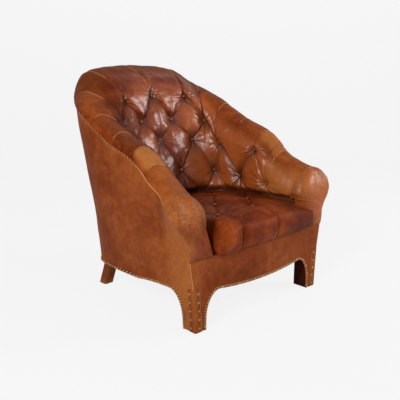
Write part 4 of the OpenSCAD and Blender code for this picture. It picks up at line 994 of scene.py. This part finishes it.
# Seat: a bulged front whose rows run on over the top, and a plain base under both
def makeSeat():
    rise, noseRows = tub["seatFront"] - tub["deck"] - seat["drop"], seat["noseRows"]
    u = np.sin(np.linspace(-1, 1, 241) * np.pi / 2 * 0.86) / math.sin(np.pi / 2 * 0.86)
    table, size = np.array(seat["noseShares"]), [rise, seat["nose"]]
    knots, fine = np.arange(len(table)), np.linspace(0, len(table) - 1, 200)
    path = np.stack([through(np.stack([knots, column], axis=1), fine) for column in table.T], axis=1)
    shares = respaced(path * size, noseRows) / size
    x, lean, fold = u * seatHalf, cornerLean(u), 1 - 0.34 * frontCrease(u)
    full = np.sqrt(1 - np.abs(u) ** np.where(u > 0, 16, 11)) * fold
    noseY = frontY(x) - seat["slack"] - seat["nose"] * shares[:, 1:] * full
    noseZ = tub["deck"] + 1.4 + (rise - lean) * shares[:, :1] * (0.96 + 0.04 * fold)
    nose = np.stack([np.broadcast_to(besideArm(x, 0.0), noseY.shape), noseY, noseZ], axis=-1)
    top, height = seatTop(u[None], np.linspace(0.055, 1, 190)[:, None])
    skin = np.concatenate([nose, top])
    # painted shade in the creases down the front, in the tufts' folds and round each button
    creaseShade = np.concatenate([np.broadcast_to((1 - fold) * 0.8, noseY.shape), (1 - height) ** 1.5])
    # smooth the turn from the front to the top, where the two surfaces meet
    first, last = noseRows - 12, noseRows + 20
    for _ in range(40):
        skin[first:last] = (skin[first - 1:last - 1] + 2 * skin[first:last] + skin[first + 1:last + 1]) / 4
    relief = waves(skin, 110, 21) * 2.2 + waves(skin, 40, 22) * 0.7
    for i, j in seatPlaces:
        dx = skin[..., 0] - (seat["tuftX"] + i * seat["tuftWidth"])
        dy = skin[..., 1] - (seat["tuftY"] + j * seat["tuftDepth"])
        distance = np.hypot(dx, dy)
        relief += gathers(distance, np.arctan2(dy, dx), 100 + i * 7 + j, (5, 8, 12, 16), 1.5)
        creaseShade = np.maximum(creaseShade, bell(distance, 13))
    row = np.arange(len(skin))[:, None]
    rim = np.minimum(1, np.minimum(row, row[::-1]) / 6) * np.sqrt(1 - np.abs(u) ** 18)
    skin = skin + gridNormals(skin, [0, -0.6, 1]) * (relief * rim)[..., None]
    under = skin.copy()
    under[..., 2] = padFoot
    face = frontY(x) + np.linspace(0, 4, noseRows)[:, None]
    under[:noseRows, :, 1] = np.maximum(under[:noseRows, :, 1], face)
    # painted shade: darker towards the right and in the corner behind the left arm
    paintedShade = 0.6 * eased((u - 0.1) / 0.6) + 0.55 * eased((-0.15 - u) / 0.4) * eased((skin[..., 1] - 40) / 120)
    gloss = eased((row - 40) / 40) * (1 - eased((u + 0.1) / 0.5)) * 0.45 - 0.2
    makeSheet("seatPad", skin, under, padHide, ["seat_pad"],
              {"fold": np.maximum(creaseShade, paintedShade), "gloss": gloss}, 0, fill=0.8)


makeSeat()
print("seat made")

# Outside panels, apron and legs
panels = {
    "lowEdge": 124, "legDepth": 63, "legArch": 42, "archReach": 62, "archRise": 95, "apronEnd": 137,
    "apronMid": 123, "riseStart": 126, "riseDepth": 200, "glide": 3, "split": 0.45, "splitGap": 0.0009,
    "footHalf": 331, "rows": 60,
}


# Lower edge from a panel's end along the foot of a front leg, and up beside it as a quarter of an arch
def legEdge(start, end, way, count):
    foot = [[at, panels["glide"]] for at in np.linspace(start, end - way, count)]
    turn = np.radians(np.linspace(0, 90, 19))
    arch = np.stack([end + way * panels["archReach"] * (1 - np.cos(turn)),
                     panels["legArch"] + panels["archRise"] * np.sin(turn)], axis=1)
    return np.concatenate([foot, [[end - way * 0.4, 12], [end - way * 0.2, 27]], arch])


# Lower edge of a side panel from front to back, as pairs of station and height, falling as a square
def sideEdge():
    s = np.linspace(0.06, 1, 30)
    low = np.stack([panels["riseStart"] + panels["riseDepth"] * s,
                    mixed(panels["apronEnd"], panels["lowEdge"], s * s)], axis=1)
    line = np.concatenate([legEdge(0, panels["legDepth"], 1, 22), low])
    line[:, 0] = stationAt(line[:, 0])
    corner = np.linspace(line[-1, 0] - 0.02, panels["split"] + panels["splitGap"], 46)
    return np.concatenate([line, np.stack([corner, np.full_like(corner, panels["lowEdge"])], axis=1)])


# Outside leather at stations over shares from its lower edge to the seam under the roll, a little uneven
def panelGrid(q, low, share, inset):
    q = q[:, None]
    z = mixed(low[:, None], seamZ(q) - 1.2, share)
    points = outerPoint(q, z, -inset)
    uneven = waves(points, 170, 31) * 0.7 + waves(points, 60, 32) * 0.25
    rim = np.clip(np.minimum(share, 1 - share) * 12, 0, 1)
    return points + unit(points - outerPoint(q, z, -inset - 10)) * (uneven * rim)[..., None]


# Outside panel, paler towards the arm front and along its upper edge
def makePanel(name, nodes, flip, q, low):
    share = np.linspace(0, 1, panels["rows"])
    front = eased((np.abs(q[:, None]) - 1.62) / 0.2) * 0.32
    makeSheet(name, panelGrid(q, low, share, 0), panelGrid(q, low, share, tub["hide"]), panelHide, nodes,
              {"worn": np.maximum(front, bell(1 - share, 0.03) * 0.3)}, flip=flip)


edge = sideEdge()
bothSides(makePanel, "outsideArm", "outside_arm", edge[:, 0], edge[:, 1])
backQ = np.linspace(-panels["split"] + panels["splitGap"], panels["split"] - panels["splitGap"], 91)
makePanel("outsideBack", ["outside_back"], False, backQ, np.full_like(backQ, panels["lowEdge"]))


# Lower edge of the front from the right foot to the left one, as pairs of width and height
def apronEdge():
    s = np.linspace(0.97, 0, 36)
    low = np.stack([seat["legX"] * 0.78 * s, mixed(panels["apronMid"], panels["apronEnd"], s * s)], axis=1)
    half = np.concatenate([legEdge(panels["footHalf"], seat["legX"], -1, 18), low])
    return np.concatenate([half, (half * [-1, 1])[-2::-1]])


# Apron, whose width follows the lean of the legs towards its ends, as a seventh power
def makeApron():
    line, share = apronEdge(), np.linspace(0, 1, 30)
    x, z = line[:, :1], mixed(line[:, 1:], tub["deck"], share)
    lean = (outsideX(z) - panels["footHalf"] - 0.6) * np.abs(x / panels["footHalf"]) ** 7 * np.sign(x)
    front = np.stack([x + lean, np.broadcast_to(frontY(x), z.shape), z], axis=-1)
    uneven = waves(front, 150, 41) * 0.7 + waves(front, 50, 42) * 0.25
    front[..., 1] -= uneven * np.clip(np.minimum(share, 1 - share) * 8, 0, 1)
    makeSheet("frontApron", front, front + [0, tub["hide"], 0], panelHide, ["front_apron"])


makeApron()
legs = {"post": 36, "cover": 42, "knee": 118, "kick": 48, "inset": 6, "station": 0.47, "sides": 32,
        "hide": 2.6, "liningTop": 149}


# Middle of a back leg, which kicks back in a straight line below its knee
def postCentre(z):
    p = outsideAt(np.array(legs["station"]), np.maximum(z, legs["knee"]).astype(float))
    back = legs["kick"] * np.maximum(legs["knee"] - z, 0) / legs["knee"]
    return p - (legs["post"] / 2 + legs["inset"]) + np.stack([np.zeros_like(back), back], axis=-1)


# Rings of a rounded square up a back leg
def legRings(z, half, rounding):
    angle = (np.arange(legs["sides"]) * 2 + 1) * np.pi / legs["sides"]
    circle = np.stack([np.cos(angle), np.sin(angle)], axis=1)
    square = superRound(angle, half, half, rounding)[:, None] * circle
    plan = postCentre(z)[:, None] + square
    return np.concatenate([plan, np.broadcast_to(z[:, None, None], (*plan.shape[:2], 1))], axis=-1)


# Leather cover of a back leg: a sleeve that is closed at both ends round the wood inside it
def makeLegCover(name, nodes, flip):
    z = np.linspace(panels["glide"] + 0.4, legs["knee"] + 4, 30)
    outer = legRings(z, legs["cover"] / 2, 9)
    outer[..., :2] += (waves(outer, 45, 51) * 0.3)[..., None]
    rings = np.concatenate([outer, legRings(z, legs["cover"] / 2 - legs["hide"], 20)[::-1]])
    faces = gridFaces(*rings.shape[:2], closeRows=True, closeColumns=True)
    # darkened all over as painted shade, and paler at the foot
    marks = {"fold": 0.4, "worn": bell(rings[..., 2], 18) * 0.5}
    makePiece(name, rings, faces, panelHide, nodes, marks, flip=flip)


bothSides(makeLegCover, "backLegCover", "back_leg_cover")


# Grid of points at heights for pairs of width and depth
def upright(z, pairs):
    return np.stack([np.stack(np.broadcast_arrays(x, y, z), axis=-1) for x, y in pairs], axis=1)


# Leather on the two hidden faces of a front leg, towards the middle and the back
def makeLegLining(name, nodes, flip):
    z, grids = np.linspace(panels["glide"] + 0.4, legs["liningTop"], 30), []
    for deep in (0, 1.6):
        x, y = seat["legX"] + 1.2 + deep, panels["legDepth"] + 0.4 - deep
        pairs = [(x, 3.2), (x, y - 5), (x + 1.5, y - 1.5), (x + 5, y), (outsideX(z) - 3.4, y)]
        grids.append(upright(z, pairs))
    # darkened all over as painted shade
    makeSheet(name, *grids, panelHide, nodes, {"fold": 1.3}, flip=flip)


bothSides(makeLegLining, "legLining", None)
print("panels and legs made")

# Trims
trims = {"width": 10, "thick": 2.2, "lift": 0.5, "under": 0.3, "step": 1.6, "nailPitch": 42, "pucker": 9.5,
         "nailSize": 7.4, "stripTop": 158, "stripWidth": 28, "stripOut": 2.6, "buttonSize": 14,
         "buttonLift": 3.5}
nailShape = turnedShape([(0, 0), (0.42, 0.0), (0.5, 0.1), (0.44, 0.24), (0.26, 0.38), (0, 0.43)], 12)


# Band laid along an edge of a surface, crowned as a fourth power. Points of the edge and the inward direction
# are pairs in the surface's own two measures, and the surface gives the place and its outward normal for them
def makeBand(name, nodes, flip, surface, line, inward):
    w, runs = np.linspace(0, 1, 9), runOf(line)
    count = int(runs[-1] / trims["step"])
    inward = unit(readAt(runs[-1] * np.linspace(0, 1, count), runs, inward))
    place, normal = surface(respaced(line, count)[:, None] + inward[:, None] * (w * trims["width"])[:, None])
    crown = trims["thick"] * (1 - np.abs(2 * w - 1) ** 4 * 0.75)
    # puckers every few millimetres, slanted like the lay of a rope
    run = np.arange(count)[:, None] * trims["step"] + w * trims["width"] * 0.6
    pucker = np.cos(2 * np.pi * run / trims["pucker"]) * 0.4
    high = trims["lift"] + crown * (1 + pucker + 0.08 * waves(place, 14, 61))
    # darker in the troughs of the puckers as painted shade, and paler on their crests as painted light
    makeSheet(name, place + normal * high[..., None], place + normal * trims["under"], trimHide, nodes,
              {"fold": np.clip(0.3 - pucker * 3, 0, 1), "worn": np.clip(pucker * 3 - 0.3, 0, 1)}, flip=flip)


# Places every pitch along the middle of a band, with their normals
def alongBand(surface, line, inward):
    middle, normal = surface(line + inward * trims["width"] / 2)
    runs, pitch = runOf(middle), trims["nailPitch"]
    spots = np.linspace(pitch / 3, runs[-1] - pitch / 3, int(runs[-1] // pitch) + 1)
    return readAt(spots, runs, middle), unit(readAt(spots, runs, normal))


# The tub's outside as a surface, whose measures are the depth along the side and the height: for a side, and
# for the back over both sides of the middle
def sideSurface(pairs):
    q, z = stationAt(pairs[..., 0]), pairs[..., 1]
    place = outerPoint(q, z)
    ahead = outerPoint(q - 0.01, z) - outerPoint(q + 0.01, z)
    return place, unit(np.cross(ahead, outerPoint(q, z + 2) - place))


def backSurface(pairs):
    q, z = stationAt(pairs[..., 0]), pairs[..., 1]
    place = outerPoint(q, z)
    return place, unit(place - outerPoint(q, z, -10))


# The apron's face, by width and height
def frontSurface(pairs):
    place = np.stack([pairs[..., 0], frontY(pairs[..., 0]), pairs[..., 1]], axis=-1)
    return place, np.broadcast_to([0.0, -1.0, 0.0], place.shape)


# Directions at right angles to a line: its tangent turned a quarter
def inwardOf(line, turn):
    tangent = unit(np.gradient(line, axis=0))
    return np.stack([-tangent[:, 1], tangent[:, 0]], axis=1) * turn


sideLine = np.stack([depthAt(edge[22:, 0]), edge[22:, 1]], axis=1)
sideLine = np.concatenate([[[panels["legDepth"] - 0.6, panels["glide"]]], sideLine])
sideIn = inwardOf(sideLine, 1)
bothSides(makeBand, "edging", "edging", sideSurface, sideLine, sideIn)
backLine = np.stack([depthAt(np.linspace(-0.449, 0.449, 80)), np.full(80, float(panels["lowEdge"]))], axis=1)
makeBand("edgingBack", ["edging_back"], False, backSurface, backLine, np.tile([0.0, 1.0], (80, 1)))
frontFoot = np.array([[seat["legX"] + 0.6, panels["glide"]]])
frontLine = np.concatenate([frontFoot, apronEdge()[18:-18], frontFoot * [-1, 1]])
frontIn = inwardOf(frontLine, -1)
makeBand("edgingFront", ["edging_front"], False, frontSurface, frontLine, frontIn)


# Leather strip folded round the front corner of a leg
def makeStrip(name, nodes, flip):
    z, grids = np.linspace(panels["glide"] + 0.2, trims["stripTop"], 40), []
    right = outsideX(z)
    for off in (trims["stripOut"], 0.5):
        pairs = [(right - trims["stripWidth"] + 6 * i, -off) for i in range(4)]
        pairs += [(right + off * math.sin(a), -off * math.cos(a)) for a in np.radians(np.linspace(0, 90, 7))]
        grids.append(upright(z, pairs + [(right + off, 7 * i) for i in range(1, 5)]))
    grids[0][..., :2] += (waves(grids[0], 30, 71) * 0.15)[..., None]
    # pale along both edges, darker just inside them
    along = np.abs(np.linspace(-1, 1, grids[0].shape[1]))
    marks = {"fold": 0.5 * ((along > 0.7) & (along < 0.95)), "worn": 0.12 + 0.45 * (along > 0.95)}
    makeSheet(name, *grids, stripHide, nodes, marks, flip=flip)


bothSides(makeStrip, "legStrip", "leg_strip")


# Nails whose heads lie on the leather, each turned to its normal
def makeNails(name, nodes, flip, spots, normals):
    axes = axesFrom(normals, [0, 0, 1]) * trims["nailSize"]
    points, faces = copiedShape(nailShape, spots + normals * (trims["thick"] + trims["lift"] - 0.3), axes)
    makePiece(name, points, faces, nailBrass, nodes, flip=flip)


# Nails of a band, with a row up a corner strip added to them
def addRow(spots, normals, x, y, normal):
    row = upright(stripZ, [(x, y)])[:, 0]
    return np.concatenate([spots, row]), np.concatenate([normals, np.tile(normal, (len(row), 1))])


stripZ = np.linspace(18, trims["stripTop"] - 14, 5)
sideNails = addRow(*alongBand(sideSurface, sideLine, sideIn), outsideX(stripZ), trims["stripWidth"] * 0.66,
                   [1.0, 0, 0])
bothSides(makeNails, "nails", "nails", *sideNails)
frontNails = alongBand(frontSurface, frontLine, frontIn)
for side in (-1, 1):
    frontNails = addRow(*frontNails, side * (outsideX(stripZ) - trims["stripWidth"] * 0.62), 0, [0, -1.0, 0])
makeNails("nailsFront", ["nails_front"], False, *frontNails)
print("edging and nails made")

# Covered buttons: a domed cap with a tucked rim
buttonShape = turnedShape([(0, -3), (0.3, -3), (0.46, -1.2), (0.5, 0.4), (0.47, 1.8), (0.38, 3.0),
                           (0.24, 3.8), (0.1, 4.15), (0, 4.2)], 20)
buttonShape = (buttonShape[0] * [trims["buttonSize"], trims["buttonSize"], 1], buttonShape[1])


# Buttons, each turned to its normal
def makeButtons(name, nodes, flip, places, normals):
    points, faces = copiedShape(buttonShape, places, axesFrom(normals, [0.3, 0.1, 1]))
    makePiece(name, points, faces, padHide, nodes, {"worn": 0.25}, flip=flip)


# Places and normals of a pad's buttons, a little out from the tuft line
def tuftButtons(first, last):
    spots = np.array(tuftPlaces(first, last), float)
    q, z = stationOf(spots[:, 0]), rowHeight(spots[:, 1], spots[:, 0])
    base = tubPoint(q, 0, z)
    normals = unit([0, 0, 0.25] - unit(tubPoint(q, 20, z) - base))
    return base + normals * trims["buttonLift"], normals


# Buttons of an arm, whose last one sits on the leather itself
def makeArmButtons(name, nodes, flip):
    columns = tufts["lastColumn"] + np.array([-0.04, 0, 0.04])
    skin, up, *_ = padSkin(columns, np.linspace(0, 1, 700), -1 if flip else 1)
    at = int(np.argmin(np.abs(skin[1, :400, 2] - tufts["lastHeight"])))
    places, normals = tuftButtons(4, 8)
    makeButtons(name, nodes, flip, np.concatenate([places, [skin[1, at] + up[1, at] * 1.5]]),
                np.concatenate([normals, [up[1, at]]]))


makeButtons("backButtons", ["back_buttons"], False, *tuftButtons(-3, 3))
bothSides(makeArmButtons, "armButtons", "arm_buttons")
seatU = (seat["tuftX"] + seatPlaces[:, 0] * seat["tuftWidth"]) / seatHalf
seatV = (seat["tuftY"] + seatPlaces[:, 1] * seat["tuftDepth"]) / tub["insideDepth"]
makeButtons("seatButtons", ["seat_buttons"], False, seatTop(seatU, seatV)[0] + [0, 0, trims["buttonLift"]],
            np.tile([0, 0, 1.0], (len(seatPlaces), 1)))

# Welt under the roll, from one arm front over the back to the other, dark where it is stitched by hand
weltQ = np.concatenate([np.linspace(-1.995, -1, 120), np.linspace(-0.99, 0.99, 220),
                        np.linspace(1, 1.995, 120)])
weltZ = seamZ(weltQ) - 2.6
weltPath = outerPoint(weltQ, weltZ, 1.4)
points, faces = beadAlong(weltPath, unit(outerPoint(weltQ, weltZ, 10) - weltPath), 2.1, 2.1)
dark = 0.8 * eased((np.abs(weltQ) - 0.7) / 0.1) * eased((1.43 - np.abs(weltQ)) / 0.05)
dark = np.repeat(dark, len(points) // len(dark))
makePiece("rollWelt", points, faces, trimHide, ["roll_welt"], {"fold": dark, "worn": (1 - dark) * 0.4})

# Cross seams over the roll: narrow raised beads in the pleats' valleys
crossSeams = {"columns": [0, 2, 3, 4, 5, 6, 7], "leaning": 7, "wide": 1.4, "high": 1.3, "lift": 1.6,
              "samples": 500}
parts, samples = [], np.arange(crossSeams["samples"])
shares = samples / samples[-1]
for k in crossSeams["columns"]:
    *_, zv, u = padProfile(np.full(len(shares), stationOf(k)), shares)
    for side in (1, -1) if k else (1,):
        # on the right arm the last one leans forward from its button to the crest
        leans = k == crossSeams["leaning"] and side > 0
        columns = np.linspace(-0.02, tufts["lean"] + 0.02, 25) if leans else np.array([-0.02, 0, 0.02])
        grids = padSkin(k + columns, shares, side)[:2]
        begin = int(np.argmax(zv > rowHeight(3, k) + 6 if leans else u > (0.72 if k < 5 else 0.86)))
        column = np.round(mixed(1, 23, eased((zv - zv[begin]) / 110))).astype(int) if leans else 1
        path, up = (respaced(grid[column, samples][begin:], 60) * [side, 1, 1] for grid in grids)
        parts.append(beadAlong(path + up * crossSeams["lift"], up, crossSeams["wide"], crossSeams["high"]))
makePiece("crossSeams", *joined(parts), trimHide, marks={"worn": 0.4})

# Hand stitches that lean to and fro along the seam under the left and right roll
stitches = {"from": 3.5, "to": 6.4, "pitch": 16, "length": 9, "out": 3.6, "down": 3.4}
stitchQ = stationOf(np.linspace(stitches["from"], stitches["to"], 400))
seamLine = outerPoint(stitchQ, seamZ(stitchQ))
spots = respaced(seamLine, int(runOf(seamLine)[-1] / stitches["pitch"]))
stitchQ = np.interp(np.linspace(0, 1, len(spots)), np.linspace(0, 1, 400), stitchQ)
outward = unit(tubPoint(stitchQ, 20, spots[:, 2]) - tubPoint(stitchQ, 0, spots[:, 2]))
travel = unit(np.gradient(spots, axis=0))
lean = np.where(np.arange(len(spots)) % 2 == 0, 1.5, 0.7)[:, None]
axes = axesFrom(unit(travel + np.cross(outward, travel) * lean), outward) * stitches["length"]
stitchShape = turnedShape([(0, -0.5), (0.08, -0.46), (0.15, -0.25), (0.17, 0), (0.15, 0.25), (0.08, 0.46),
                           (0, 0.5)], 8)
stitchAt = spots + outward * stitches["out"] - [0, 0, stitches["down"]]
makePiece("handStitches", *paired(*copiedShape(stitchShape, stitchAt, axes)), linenThread)

# Seam down each front corner, from the arm front's leather to the strip on the leg
cornerZ = np.linspace(trims["stripTop"] - 2, 283, 60)
corner = upright(cornerZ, [(outsideX(cornerZ) + 0.2, -0.2)])[:, 0]
cornerBead = beadAlong(corner, np.tile(unit(np.array([1.0, -1.0, 0])), (60, 1)), 1.5, 1.5)
makePiece("cornerSeams", *paired(*cornerBead), trimHide, marks={"worn": 0.3})
print("buttons, welt and seams made")

# Floor, light and camera, in metres
studio = {
    "whites": (0.918, 0.953), "world": (0.95, 0.95, 0.95, 1), "strength": 0.24, "lens": 56.07, "sensor": 36,
    "eye": (-1.670, -1.8185, 0.937), "turn": (76.55, 0, -43.73),
    # place of each soft box, the height over the chair's middle that it looks at, its sides and its power
    "boxes": {"keyBox": ((-2.9, -1.25, 2.15), 0.45, 0.6, 0.6, 100),
              "topBox": ((0.6, -0.6, 3.2), 0.4, 2, 2, 5),
              "fillBox": ((2.35, -2.15, 1.64), 0.5, 0.95, 1, 76)},
}


# Pale ground: a matt surface that takes the shadow, with its own light for the camera, glass and metal
def makeBackdrop():
    material, place = startMaterial("paleBackdrop")
    rays = [place.add("LightPath", output=f"Is {kind} Ray") for kind in ("Camera", "Glossy", "Transmission")]
    seen = rays[0].maths("MAXIMUM", rays[1]).maths("MAXIMUM", rays[2])
    tone = noise(place, 40, 2).ramp((0.3, 0.90), (0.7, 0.93))
    ground = place.add("BsdfPrincipled", {}, {"Base Color": tone, "Roughness": 0.9})
    height = place.add("SeparateXYZ", {}, {0: place}, 2)
    white = (height * 0.4).ramp(*enumerate(studio["whites"]))
    glow = place.add("Emission", {}, {"Color": white, "Strength": 1.0})
    both = place.add("MixShader", {}, {0: seen * 0.94, 1: ground, 2: glow})
    place.add("OutputMaterial", {}, {"Surface": both})
    return material


# Floor that turns up behind the chair as a quarter of a circle, square to the camera
def makeFloor():
    bend = np.linspace(0, 1, 40) * np.pi / 2
    y = np.concatenate([[-4.0], 2.5 + 1.5 * np.sin(bend), [4.0]])[:, None]
    z = np.concatenate([[0.0], 1.5 - 1.5 * np.cos(bend), [5.0]])[:, None]
    points = np.stack(np.broadcast_arrays(np.linspace(-5, 5, 3), y, z), axis=-1).reshape(-1, 3)
    angle = math.radians(-studio["turn"][2])
    c, s = math.cos(angle), math.sin(angle)
    mesh = bpy.data.meshes.new("paleFloor")
    mesh.from_pydata((points @ [[c, -s, 0], [s, c, 0], [0, 0, 1]]).tolist(), [], gridFaces(len(y), 3))
    mesh.materials.append(makeBackdrop())
    floor = bpy.data.objects.new("paleFloor", mesh)
    bpy.context.scene.collection.objects.link(floor)


makeFloor()
for name, (at, aim, width, height, power) in studio["boxes"].items():
    light = bpy.data.lights.new(name, "AREA")
    light.shape = "RECTANGLE"
    light.size, light.size_y, light.energy = width, height, power
    box = bpy.data.objects.new(name, light)
    box.location = at
    box.rotation_euler = (Vector((0, 0, aim)) - Vector(at)).to_track_quat("-Z", "Y").to_euler()
    bpy.context.scene.collection.objects.link(box)
world = bpy.data.worlds.new("studioWorld")
world.use_nodes = True
bpy.context.scene.world = world
background = world.node_tree.nodes["Background"].inputs
background["Color"].default_value = studio["world"]
background["Strength"].default_value = studio["strength"]

lens = bpy.data.cameras.new("photoCamera")
lens.lens, lens.sensor_width = studio["lens"], studio["sensor"]
camera = bpy.data.objects.new("photoCamera", lens)
camera.location = studio["eye"]
camera.rotation_euler = [math.radians(a) for a in studio["turn"]]
bpy.context.scene.collection.objects.link(camera)
bpy.context.scene.camera = camera
bpy.context.scene.view_settings.view_transform = "Standard"
print("light and camera set")
